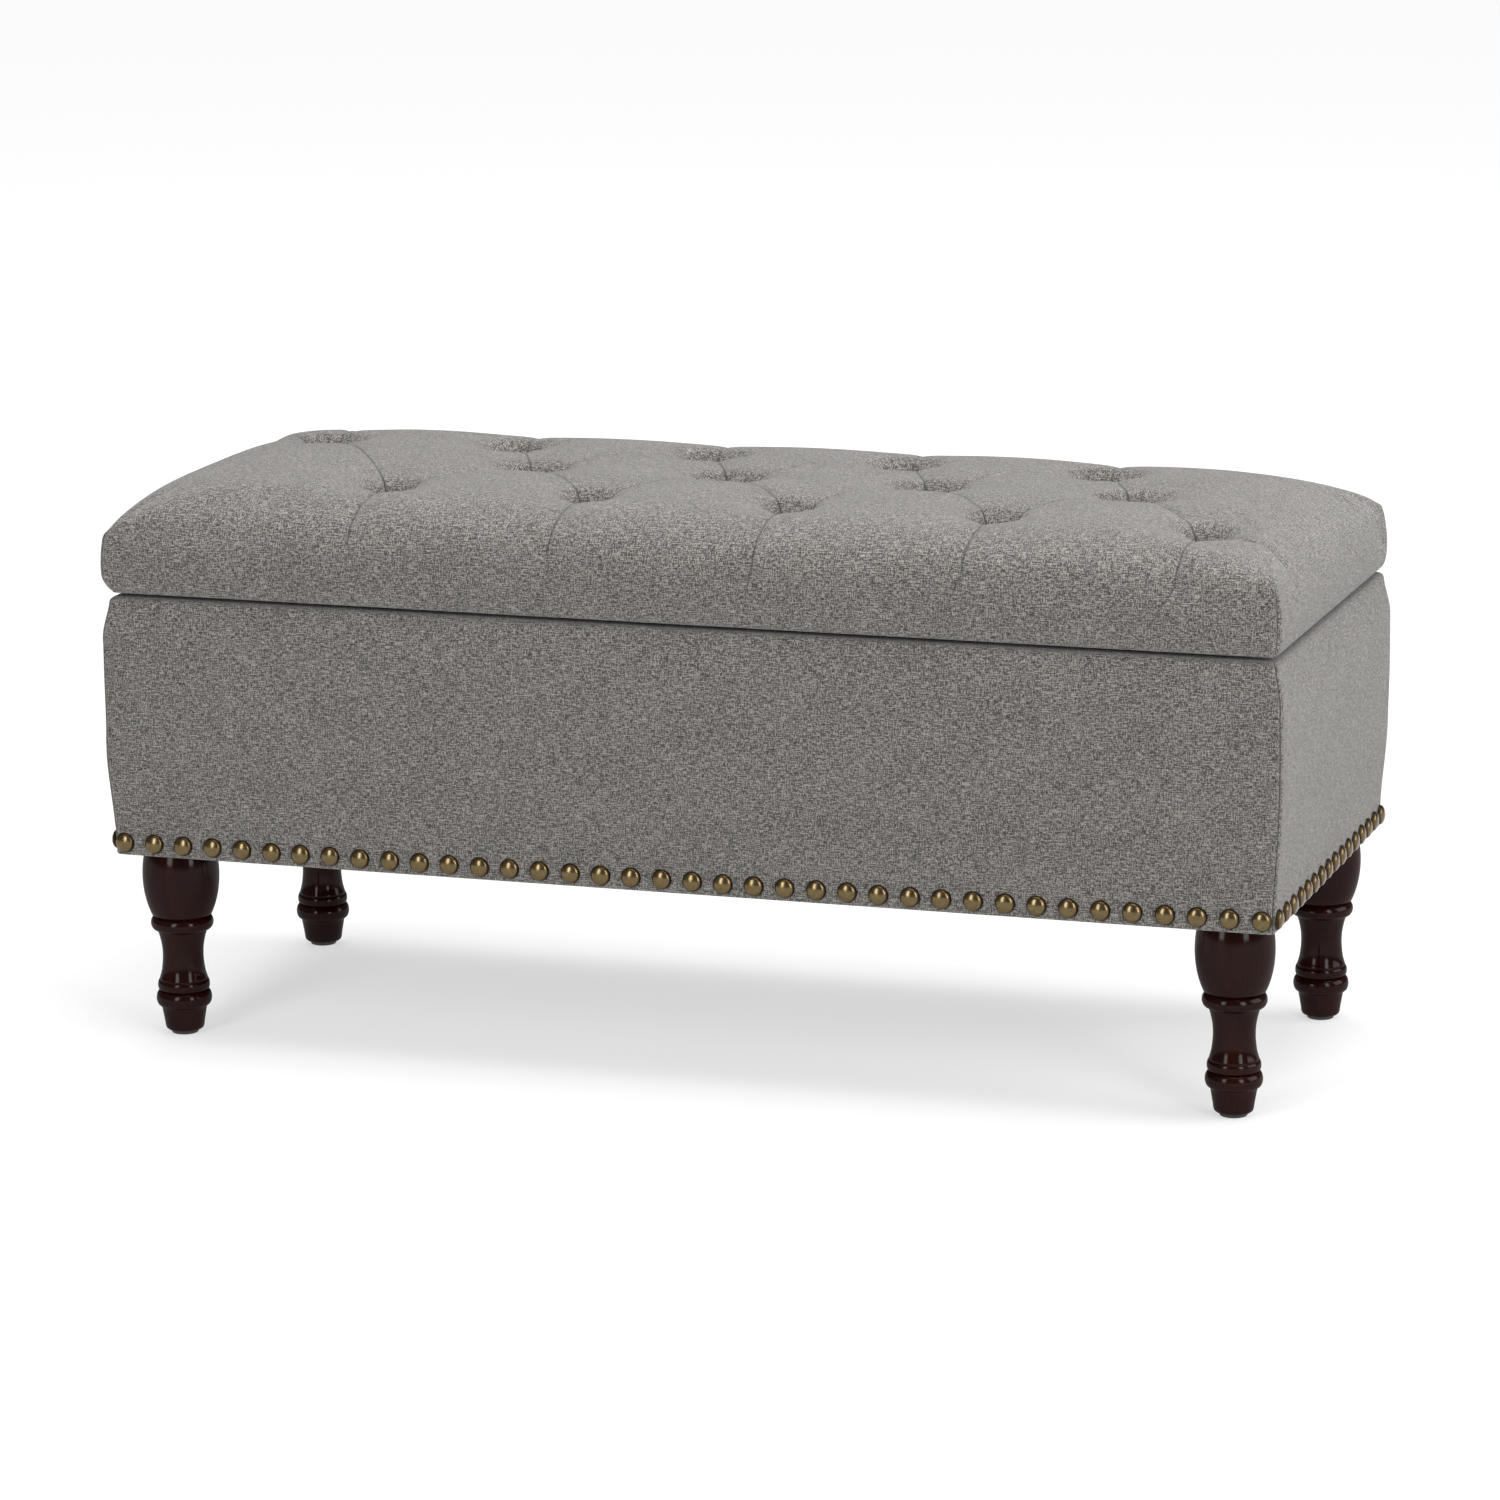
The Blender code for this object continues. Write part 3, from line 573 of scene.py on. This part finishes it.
def bead(low, high, edge, middle, count):
    """A half-round ring between two heights, from its lower edge to its upper one."""
    angles = [pi * k / (count - 1) for k in range(count)]
    centre, half = (low + high) / 2, (high - low) / 2
    return [(edge + (middle - edge) * sin(a), centre - half * cos(a)) for a in angles]


def leg_profile():
    foot = [(0.0136, LEG_FOOT), (0.0146, 0.0036), (0.0158, 0.0046), (0.0165, 0.0066)]
    taper = through([(0.0169, 0.010), (0.0181, 0.017), (0.0193, 0.0236)], 2)
    lower_ring = bead(0.0243, 0.0376, 0.0200, 0.0236, 11)
    lip = bead(0.0380, 0.0468, 0.0205, 0.0221, 7)
    neck = through([(0.0206, 0.0475), (0.0185, 0.055), (0.01735, 0.066), (0.0177, 0.076),
                    (0.0195, 0.0850), (0.0212, 0.0903)], 4)
    upper_ring = bead(0.0907, 0.1033, 0.0218, 0.0266, 13)
    ball = []
    for k in range(19):
        z = BALL_FOOT + (LEG_TOP - BALL_FOOT) * k / 18
        ball.append((BALL_RADIUS * sqrt(1 - ((z - BALL_MIDDLE) / BALL_HALF) ** 2), z))
    ball.insert(0, (0.0246, 0.1034))
    return foot + taper + lower_ring + lip + neck + upper_ring + ball


def make_lacquer():
    material, shader, start = new_finish("espresso_lacquer", Coat_Weight=0.24, IOR=1.45)
    shader.inputs["Coat Roughness"].default_value = 0.13
    shader.inputs["Specular IOR Level"].default_value = 0.0
    x, y, z = start.place()
    grain = start.streaks(z, x + y * 0.8, 0.035, 0.0009, 13.0, 3.0)
    figure = start.streaks(z, x - y, 0.070, 0.010, 19.0, 2.0)
    tone = (grain * 0.9 + figure * 0.9 - 0.42).clipped()
    feed(shader, "Base Color", tone.mix((0.0032, 0.0006, 0.0003, 1), (0.0170, 0.0030, 0.0012, 1)))
    feed(shader, "Roughness", 0.30 + grain * 0.12)
    bump = {"Strength": 0.10, "Distance": 0.0003, "Height": grain}
    feed(shader, "Normal", start.add("Bump", None, bump))
    return material


leg = turn("leg", leg_profile(), LEG_SIDES)
leg.data.materials.append(make_lacquer())
bpy.ops.object.shade_smooth_by_angle(angle=radians(50))
places = []
for corner in CORNERS:
    side_x = 1 if "right" in corner else -1
    side_y = 1 if "back" in corner else -1
    move = Matrix.Translation((side_x * LEG_PLACE[0], side_y * LEG_PLACE[1], 0))
    places.append((corner, move @ Matrix.Rotation(LEG_TWIST * len(places), 4, "Z")))
for turned_leg in copies(leg, [("turned_leg_" + corner, move) for corner, move in places]):
    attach(turned_leg, "box")
    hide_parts(turned_leg.name.replace("turned_", ""))


# Foot glides: black nylon discs nailed into the ends of the legs.
def make_nylon():
    material, shader, start = new_finish("black_nylon", Roughness=0.5)
    x, y, z = start.place()
    specks = start.streaks(x + z, y - z, 0.0006, 0.0006, 23.0, 2.0)
    feed(shader, "Base Color", specks.mix((0.010, 0.010, 0.010, 1), (0.030, 0.029, 0.028, 1)))
    feed(shader, "Roughness", 0.40 + specks * 0.25)
    return material


glide_profile = [(0.0104, 0.0), (0.0110, 0.0002), (0.0114, 0.0007), (0.0115, 0.0013)]
glide_profile += [(0.0115, 0.0027), (0.0113, 0.0030), (0.0020, 0.0031), (0.0018, 0.0125)]
glide = turn("glide", glide_profile, 32)
glide.data.materials.append(make_nylon())
bpy.ops.object.shade_smooth_by_angle(angle=radians(40))
for nylon_glide in copies(glide, [("nylon_glide_" + corner, move) for corner, move in places]):
    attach(nylon_glide, "box")
    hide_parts(nylon_glide.name.replace("nylon", "foot"))


# Decorative nails: domed heads of aged brass along the foot of the front and of both ends,
# hammered in one by one, so no two sit quite alike.
NAIL_RADIUS, NAIL_HEIGHT, NAIL_EDGE = 0.0085, 0.0050, 0.0006
NAIL_STEPS = 8  # from the edge of the dome to its middle
NAIL_LINE = 0.1735  # height of the rows
NAIL_FACE = (0.5005, 0.2005)
NAIL_SLIP, NAIL_LEAN = 3e-4, 0.045  # how far a head strays, and how far it tilts
NAIL_ROWS = (  # name, heads, spacing, outward
    ("front", 38, 0.0265, (0, -1, 0)),
    ("left", 16, 0.0253, (-1, 0, 0)),
    ("right", 16, 0.0253, (1, 0, 0)),
)


def make_aged_brass():
    material, shader, start = new_finish("aged_brass", Metallic=1.0)
    x, y, z = start.place()
    rim = start.stored("rim")
    patina = start.streaks(x + y, z, 0.0035, 0.0035, 29.0, 3.0)
    dust = start.streaks(x - y, z, 0.0009, 0.0009, 37.0)
    tone = (patina * 0.9 - 0.05 + dust * 0.15).clipped()
    dome = tone.mix((0.085, 0.060, 0.029, 1), (0.19, 0.140, 0.072, 1))
    # Painted shade and painted dark reflection: the foot of the dome is darkened to near-black, and
    # made rougher.
    feed(shader, "Base Color", (rim * 0.95).mix(dome, (0.030, 0.018, 0.008, 1)))
    feed(shader, "Roughness", 0.21 + dust * 0.05 + rim * 0.22)
    return material


def make_nail():
    profile = [(NAIL_RADIUS * 0.93, 0.0), (NAIL_RADIUS, 0.0002), (NAIL_RADIUS, NAIL_EDGE)]
    for k in range(1, NAIL_STEPS):
        angle = pi / 2 * k / NAIL_STEPS
        height = NAIL_EDGE + (NAIL_HEIGHT - NAIL_EDGE) * sin(angle)
        profile.append((NAIL_RADIUS * cos(angle) * 0.985, height))
    profile.append((NAIL_RADIUS * 0.06, NAIL_HEIGHT))
    nail = turn("nail", profile, 20)
    # rim: 1 round the foot of the dome, where the brass is painted near-black as shade and dark
    # reflection.
    rim = [
        1 - smoothstep(0.42, 0.66, vert.co.z / NAIL_HEIGHT) for vert in nail.data.vertices
    ]
    store(nail, "rim", rim)
    return nail


def join_as(name, pieces):
    bpy.ops.object.select_all(action="DESELECT")
    for piece in pieces:
        piece.select_set(True)
    bpy.context.view_layer.objects.active = pieces[0]
    bpy.ops.object.join()
    pieces[0].name = pieces[0].data.name = name
    return pieces[0]


def make_nail_row(pattern, name, count, pitch, facing, chance):
    facing = Vector(facing)
    along = Vector((abs(facing.y), abs(facing.x), 0))
    middle = Vector((facing.x * NAIL_FACE[0], facing.y * NAIL_FACE[1], NAIL_LINE))
    square = facing.to_track_quat("Z", "Y").to_matrix().to_4x4()
    heads = []
    for k in range(count):
        place = middle + along * pitch * (k - (count - 1) / 2)
        place = place + along * chance.uniform(-NAIL_SLIP, NAIL_SLIP)
        place = place + Vector((0, 0, chance.uniform(-NAIL_SLIP, NAIL_SLIP)))
        lean = Matrix.Rotation(chance.uniform(-NAIL_LEAN, NAIL_LEAN), 4, "X")
        lean = lean @ Matrix.Rotation(chance.uniform(-NAIL_LEAN, NAIL_LEAN), 4, "Y")
        heads.append(("nail", Matrix.Translation(place) @ square @ lean))
    only(pattern)
    twin = pattern.copy()
    twin.data = pattern.data.copy()
    bpy.context.collection.objects.link(twin)
    return join_as("brass_nails_" + name, copies(twin, heads))


nail = make_nail()
nail.data.materials.append(make_aged_brass())
bpy.ops.object.shade_smooth_by_angle(angle=radians(50))
nail_chance = Random(7)
for name, count, pitch, facing in NAIL_ROWS:
    nails = make_nail_row(nail, name, count, pitch, facing, nail_chance)
    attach(nails, "box")
    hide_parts("nail_row_" + name)
bpy.data.objects.remove(nail)


# Lid pad: a block of foam on the lid board under the same cloth, drawn down by fourteen buttons
# in three staggered rows. The spare cloth lies in pleats from button to button and over the
# edges, the corners are sewn, and the edge is stapled under the board.
PAD_HALF = Vector((0.5, 0.2))
PAD_ALONG, PAD_ACROSS = 200, 80
PAD_CORNER = 0.0055
PAD_SHOULDER, PAD_CROWN = 0.4410, 0.0380
PAD_WALL = (
    (-0.0010, 0.4360), (-0.0018, 0.4310), (-0.0024, 0.4255), (-0.0028, 0.4200), (-0.0030, 0.4145),
    (-0.0030, 0.4090), (-0.0028, 0.4035), (-0.0023, 0.3982), (-0.0015, 0.3935), (-0.0002, 0.3898),
    (0.0016, 0.3874), (0.0040, 0.3862), (0.0075, 0.3861), (0.0150, 0.3861), (0.0225, 0.3861),
    (0.0300, 0.3861),
)
END_BULGE = 0.0050  # the left end is a little fuller
PAD_HELD = 11  # rings of the wall from this one on are held by the board
FRONT_TUFTS = [Vector((-0.28 + 0.175 * k, -0.11)) for k in range(5)]
MIDDLE_TUFTS = [Vector((-0.1925 + 0.175 * k, 0.0)) for k in range(4)]
REAR_TUFTS = [Vector((-0.42 + 0.175 * k, 0.11)) for k in range(5)]
TUFTS = FRONT_TUFTS + MIDDLE_TUFTS + REAR_TUFTS
TUFT_BOWL, TUFT_DISH, TUFT_FOLD = 0.0240, 0.0050, 0.0009
TUFT_SPREAD, TUFT_REACH = 0.0310, 0.045  # reach of the bowl, and of the dish round it
TUFT_PETALS, FOLD_PLACE, FOLD_SIDE = 11, 0.018, 0.007  # folds round a bowl, and where they lie
TUFT_WIDE, TUFT_ROUND = 0.76, 1.05  # the bowls behind the front row are wider along the bench
TUFT_LEAN = 0.62  # those of the rear row slope more gently to the front
PLEAT_VALLEY, PLEAT_REACH = 0.0016, 0.0060  # soft valley along a pleat
PLEAT_SINK, PLEAT_SIDE = 0.0015, 0.0026  # sharp groove in it
AIR_STEPS, AIR_PRESSURE, BUTTON_HOLD = 20, 4, 0.0085
SWELL_TOP, SWELL_WALL = 0.0100, 0.0045  # the furthest that the cloth moves in the simulation
BOARD_GAP = 0.0004  # between the board and the pad round it


def pleat(start, end, weak, start_hold=1.0, end_hold=1.0):
    """A pleat between two points of the flat cloth, weak in the middle."""
    return Vector(start), Vector(end), weak, start_hold, end_hold


def plan_pleats():
    forward, backward = [], []
    for k in range(4):
        forward.append(pleat(REAR_TUFTS[k + 1], MIDDLE_TUFTS[k], 0.75))
        forward.append(pleat(MIDDLE_TUFTS[k], FRONT_TUFTS[k + 1], 0.65))
        backward.append(pleat(FRONT_TUFTS[k], MIDDLE_TUFTS[k], 0.30))
        if k < 3:
            backward.append(pleat(MIDDLE_TUFTS[k], REAR_TUFTS[k + 2], 0.16))
    forward.append(pleat(REAR_TUFTS[0], FRONT_TUFTS[0], 0.80))
    for tuft in FRONT_TUFTS:
        edge = tuft + Vector((-0.004, -0.090))
        forward.append(pleat(tuft, edge, 0.75, 1.0, 0.70))
        forward.append(pleat(edge, edge + Vector((-0.002, -0.055)), 0.45, 0.70, 0.0))
    for tuft in REAR_TUFTS:
        edge = tuft + Vector((-0.002, 0.090))
        backward.append(pleat(tuft, edge, 0.40, 0.8, 0.30))
        backward.append(pleat(edge, edge + Vector((0.0, 0.034)), 0.20, 0.30, 0.0))
    last = FRONT_TUFTS[4]
    bend, end = Vector((0.470, -0.124)), Vector((0.500, -0.140))
    forward.append(pleat(last, bend, 0.75, 1.0, 0.75))
    forward.append(pleat(bend, end, 0.60, 0.75, 0.45))
    forward.append(pleat(end, end + Vector((0.030, -0.008)), 0.2, 0.45, 0.0))
    first, end = REAR_TUFTS[0], Vector((-0.500, 0.138))
    backward.append(pleat(first, end, 0.55, 1.0, 0.40))
    backward.append(pleat(end, end + Vector((-0.030, 0.006)), 0.2, 0.40, 0.0))
    return forward, backward


PLEATS = plan_pleats()


def nearest_pleat(flat, pleats):
    """Signed distance from a point of the flat cloth to the nearest pleat, and its strength."""
    best = (1.0, 0.0)
    for start, end, weak, start_hold, end_hold in pleats:
        if min(abs(flat.x - start.x), abs(flat.x - end.x)) > 0.15:
            continue
        step = end - start
        length = step.length
        t = (flat - start).dot(step) / (length * length)
        t = min(1.0, max(0.0, t))
        gap = flat - start - step * t
        if gap.length < abs(best[0]):
            side = 1 if step.x * gap.y - step.y * gap.x > 0 else -1
            near_start = exp(-((t * length / 0.045) ** 2))
            near_end = exp(-(((1 - t) * length / 0.045) ** 2))
            hold = weak + (start_hold - weak) * near_start
            hold = hold + (end_hold - weak) * near_end
            best = (side * gap.length, max(0.0, hold))
    way, hold = best
    return way, hold * (1 - smoothstep(0.012, 0.020, abs(way)))


def rounded(u, v, inset):
    """The point at u, v, from -1 to 1, of a round-cornered rectangle inset from the outline."""
    half = PAD_HALF - Vector((inset, inset))
    radius = max(0.002, PAD_CORNER - inset)
    x, y = u * half.x, v * half.y
    over_x, over_y = abs(x) - (half.x - radius), abs(y) - (half.y - radius)
    if over_x > 0 and over_y > 0:
        scale = max(over_x, over_y) / hypot(over_x, over_y)
        x = (half.x - radius + over_x * scale) * (1 if x > 0 else -1)
        y = (half.y - radius + over_y * scale) * (1 if y > 0 else -1)
    return Vector((x, y))


def denser(value):
    """Draws the cells of the grid closer together towards the edge."""
    return (1 - (1 - abs(value)) ** 1.22) * (1 if value > 0 else -1)


def pad_height(flat):
    x, y = flat
    across = 1 - min(1, abs(y) / PAD_HALF.y) ** 5
    along = 1 - min(1, abs(x) / PAD_HALF.x) ** (8 - 26 * max(0, y) if x > 0 else 14)
    z = PAD_SHOULDER + PAD_CROWN * sqrt(max(0, across * along))
    for pleats in PLEATS:
        way, hold = nearest_pleat(flat, pleats)
        z -= PLEAT_VALLEY * hold * exp(-((way / PLEAT_REACH) ** 2))
    for tuft in TUFTS:
        gap = flat - tuft
        if gap.length < 0.12:
            gap.x *= TUFT_WIDE if tuft.y > -0.1 else TUFT_ROUND
            if tuft.y > 0 and gap.y < 0:
                gap.y *= TUFT_LEAN
            reach = gap.length
            bowl = TUFT_BOWL * (1 - smoothstep(0.004, TUFT_SPREAD, reach))
            dish = TUFT_DISH * exp(-((reach / TUFT_REACH) ** 2))
            folds = sin(TUFT_PETALS * atan2(gap.y, gap.x) + 40 * tuft.x)
            folds = folds * exp(-(((reach - FOLD_PLACE) / FOLD_SIDE) ** 2))
            z -= bowl + dish + TUFT_FOLD * folds
    return z


def shape_pad(pad):
    """Sets every point from its place in the grid, and keeps where it lies in the cut cloth."""
    cut, ways, holds = [], [], []
    for vert in pad.data.vertices:
        u, v, ring = denser(vert.co.x * 2), denser(vert.co.y * 2), round(-vert.co.z)
        if ring == 0:
            flat = edge = rounded(u, v, 0)
            vert.co = (flat.x, flat.y, pad_height(flat))
            inwards = hypot(PAD_HALF.x - abs(flat.x), PAD_HALF.y - abs(flat.y))
            hold = 1 - smoothstep(0.006, 0.020, inwards)
        else:
            inset, z = PAD_WALL[ring - 1]
            edge = rounded(u, v, 0)
            place = rounded(u, v, inset)
            if place.x < 0:
                place.x -= END_BULGE * smoothstep(0.3863, 0.3980, z) * (-place.x / PAD_HALF.x) ** 8
            out = (rounded(u, v, -0.001) - edge).normalized()
            flat = edge + out * (PAD_SHOULDER - z)
            vert.co = (place.x, place.y, z)
            hold = 1.0
        way = seam_distance(edge, PAD_HALF)
        cut += [flat.x, flat.y, -float(ring)]
        ways.append(way)
        holds.append(hold * (1 - smoothstep(0.02, 0.03, abs(way))))
    kept = pad.data.attributes.new("cut", "FLOAT_VECTOR", "POINT")
    kept.data.foreach_set("vector", cut)
    store(pad, "seam_way", ways)
    store(pad, "seam_hold", holds)


def fill_with_air(pad):
    """Puffs the cloth out between its buttons and its stapled edge."""
    held = pad.vertex_groups.new(name="held")
    cut = [Vector(point.vector) for point in pad.data.attributes["cut"].data]
    for vert, flat in zip(pad.data.vertices, cut):
        at_tuft = min((flat.xy - tuft).length for tuft in TUFTS) < BUTTON_HOLD
        if flat.z <= -PAD_HELD or at_tuft:
            held.add([vert.index], 1.0, "REPLACE")
    before = [vert.co.copy() for vert in pad.data.vertices]
    cloth = pad.modifiers.new("Air", "CLOTH")
    cloth.settings.quality = 5
    cloth.settings.mass = 0.3
    cloth.settings.tension_stiffness = cloth.settings.compression_stiffness = 12
    cloth.settings.shear_stiffness = 6
    cloth.settings.bending_stiffness = 1.0
    cloth.settings.vertex_group_mass = "held"
    cloth.settings.use_pressure = True
    cloth.settings.uniform_pressure_force = AIR_PRESSURE
    cloth.settings.effector_weights.gravity = 0
    cloth.collision_settings.use_collision = False
    for step in range(1, AIR_STEPS + 1):
        bpy.context.scene.frame_set(step)
    apply_all(pad)
    bpy.context.scene.frame_set(1)
    for vert, start, flat in zip(pad.data.vertices, before, cut):
        most = SWELL_TOP if flat.z > -0.5 else SWELL_WALL
        move = vert.co - start
        vert.co = start + move * (most / (most + move.length))


def press_pleats(pad):
    """Sinks each pleat and the corner seams into the cloth, and keeps where they run, for the
    painted shade lines along them.
    """
    normals = [vert.normal.copy() for vert in pad.data.vertices]
    kept = {"pleat_a": [], "pleat_b": []}
    ways, holds = pad.data.attributes["seam_way"].data, pad.data.attributes["seam_hold"].data
    for vert, normal, point in zip(pad.data.vertices, normals, pad.data.attributes["cut"].data):
        flat = Vector(point.vector)
        sink = 0.0
        for name, pleats in zip(("pleat_a", "pleat_b"), PLEATS):
            way, hold = nearest_pleat(flat.xy, pleats)
            kept[name].append((way, hold))
            sink += PLEAT_SINK * hold * exp(-((way / PLEAT_SIDE) ** 2))
        way, hold = ways[vert.index].value, holds[vert.index].value
        if vert.co.z > 0.3875:
            sink += 1.5 * SEAM_SINK * hold * exp(-((way / PLEAT_SIDE) ** 2))
        vert.co = vert.co - normal * sink
    for name, pairs in kept.items():
        store(pad, name + "_way", [way for way, hold in pairs])
        store(pad, name + "_hold", [hold for way, hold in pairs])


def close_under(pad):
    """Carries the cloth's edge up round the board, which stays free inside the pad."""
    low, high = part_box("lid_board")
    edit(pad, "EDGE", lambda edge: edge.is_boundary)
    lift = {"value": (0, 0, low[2] - BOARD_GAP - PAD_WALL[-1][1])}
    bpy.ops.mesh.extrude_edges_move(TRANSFORM_OT_translate=lift)
    bpy.ops.mesh.extrude_edges_move(TRANSFORM_OT_translate={"value": (0, 0, 0)})
    wide = (high[0] + BOARD_GAP) / (PAD_HALF.x - PAD_WALL[-1][0])
    deep = (high[1] + BOARD_GAP) / (PAD_HALF.y - PAD_WALL[-1][0])
    bpy.ops.transform.resize(value=(wide, deep, 1), center_override=(0, 0, 0))
    lift = {"value": (0, 0, high[2] - low[2] + 2 * BOARD_GAP)}
    bpy.ops.mesh.extrude_edges_move(TRANSFORM_OT_translate=lift)
    bpy.ops.mesh.edge_face_add()
    bpy.ops.mesh.select_all(action="SELECT")
    bpy.ops.mesh.normals_make_consistent(inside=False)
    done()


def make_lid_pad():
    bpy.ops.object.select_all(action="DESELECT")
    bpy.ops.mesh.primitive_grid_add(x_subdivisions=PAD_ALONG, y_subdivisions=PAD_ACROSS, size=1)
    pad = begin("lid_pad")
    edit(pad, "EDGE", lambda edge: edge.is_boundary)
    for _ in PAD_WALL:
        bpy.ops.mesh.extrude_edges_move(TRANSFORM_OT_translate={"value": (0, 0, -1)})
    bpy.ops.mesh.select_all(action="SELECT")
    bpy.ops.mesh.normals_make_consistent(inside=False)
    done()
    shape_pad(pad)
    fill_with_air(pad)
    finer = pad.modifiers.new("Finer", "SUBSURF")
    finer.levels = finer.render_levels = 1
    apply_all(pad)
    press_pleats(pad)
    close_under(pad)
    return pad


lid_pad = make_lid_pad()
lid_pad.data.materials.append(COVER_CLOTH)
bpy.ops.object.shade_smooth_by_angle(angle=radians(70))
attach(lid_pad, "lid")
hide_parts("lid_cover", "lid_foam")


# Tuft buttons: low domed buttons covered in the same cloth, pulled down into the pad by twine
# that is tied off under the board.
BUTTON_SEAT = 0.4475
button_profile = [(0.0060, 0.0), (0.0086, 0.0008), (0.0094, 0.0022), (0.0090, 0.0036)]
button_profile += [(0.0074, 0.0049), (0.0050, 0.0057), (0.0024, 0.0061), (0.0004, 0.0062)]
button = turn("button", button_profile, 28)
button.data.materials.append(COVER_CLOTH)
bpy.ops.object.shade_smooth_by_angle(angle=radians(60))
places = []
for number, tuft in enumerate(TUFTS, 1):
    place = Matrix.Translation((tuft.x, tuft.y, BUTTON_SEAT))
    places.append(("cloth_button_%02d" % number, place))
for cloth_button in copies(button, places):
    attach(cloth_button, "lid")
    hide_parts(cloth_button.name.replace("cloth_", "tuft_"))


# Metalwork: zinc-plated hinges and hanger bolts, and black powder-coated folding stays that
# stop the lid a little past upright.
def make_metal(name, dark, pale, rough, metallic):
    material, shader, start = new_finish(name, Metallic=metallic)
    x, y, z = start.place()
    flow = start.streaks(x + z, y + z, 0.004, 0.004, 41.0, 3.0)
    scratch = start.streaks(x, y + z, 0.012, 0.0004, 43.0)
    tone = (flow * 1.2 + scratch * 0.3 - 0.25).clipped()
    feed(shader, "Base Color", tone.mix(dark, pale))
    feed(shader, "Roughness", rough + scratch * 0.12)
    bump = {"Strength": 0.12, "Distance": 0.0002, "Height": scratch + flow}
    feed(shader, "Normal", start.add("Bump", None, bump))
    return material


ZINC = make_metal("zinc_plate", (0.46, 0.46, 0.44, 1), (0.70, 0.70, 0.68, 1), 0.28, 1.0)
POWDER_COAT = make_metal("powder_coat", (0.012, 0.012, 0.013, 1), (0.03, 0.03, 0.03, 1), 0.45, 0.0)
SIDES = ("left", "right")
dress(ZINC, *("leg_bolt_" + corner for corner in CORNERS))
for kind in ("hinge_body_leaf_", "hinge_lid_leaf_", "hinge_pin_"):
    dress(ZINC, *(kind + side for side in SIDES))
for kind in ("stay_wall_plate_", "stay_lid_bracket_", "stay_lower_arm_", "stay_upper_arm_"):
    dress(POWDER_COAT, *(kind + side for side in SIDES))


# Screws: countersunk wood screws that fix each hinge leaf with three, and each wall plate and
# bracket of the stays with two. Only their heads show, sunk almost flush.
HEAD_SINK, HEAD_RIM = 0.0004, 0.00015
BODY_LEAF, LID_LEAF, LEAF_LINE = 0.3843, 0.3847, 0.1860  # two heights, and how far back
HINGE_MIDDLE, HINGE_STEP = 0.300, 0.0200
PLATE_STEP, BRACKET_STEP = 0.0160, 0.0070
WALL_PLATE = Vector((0.4784, 0.1187, 0.2995))
LID_BRACKET = Vector((0.4595, 0.1037, 0.3837))


def make_screws(name, finish, spots):
    """Heads at each (place, outward) spot, as one piece."""
    profile = [(0.0024, -HEAD_SINK), (0.0034, 0.0), (0.0033, HEAD_RIM * 0.7), (0.0028, HEAD_RIM)]
    profile += [(0.0015, HEAD_RIM), (0.0011, -0.00025), (0.0003, -0.00030)]
    head = turn("screw", profile, 20)
    head.data.materials.append(finish)
    bpy.ops.object.shade_smooth_by_angle(angle=radians(40))
    places = []
    for place, outward in spots:
        square = Vector(outward).to_track_quat("Z", "Y").to_matrix().to_4x4()
        places.append(("screw", Matrix.Translation(place) @ square))
    return join_as(name, copies(head, places))


leaf_spots = []
stay_spots = {"box": [], "lid": []}
for side in (-1, 1):
    leaf_spots += [side * HINGE_MIDDLE + HINGE_STEP * step for step in (-1, 0, 1)]
    for step in (-PLATE_STEP, PLATE_STEP):
        spot = Vector((side * WALL_PLATE.x, WALL_PLATE.y, WALL_PLATE.z + step))
        stay_spots["box"].append((spot, (-side, 0, 0)))
    for step in (-BRACKET_STEP, BRACKET_STEP):
        spot = Vector((side * LID_BRACKET.x, LID_BRACKET.y + step, LID_BRACKET.z))
        stay_spots["lid"].append((spot, (0, 0, -1)))
hinge_spots = {
    "box": [(Vector((x, LEAF_LINE, BODY_LEAF)), (0, 0, 1)) for x in leaf_spots],
    "lid": [(Vector((x, LEAF_LINE, LID_LEAF)), (0, 0, -1)) for x in leaf_spots],
}
for body in ("box", "lid"):
    hinge_screws = make_screws("hinge_screws_" + body, ZINC, hinge_spots[body])
    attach(hinge_screws, body)
    stay_screws = make_screws("stay_screws_" + body, POWDER_COAT, stay_spots[body])
    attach(stay_screws, body)
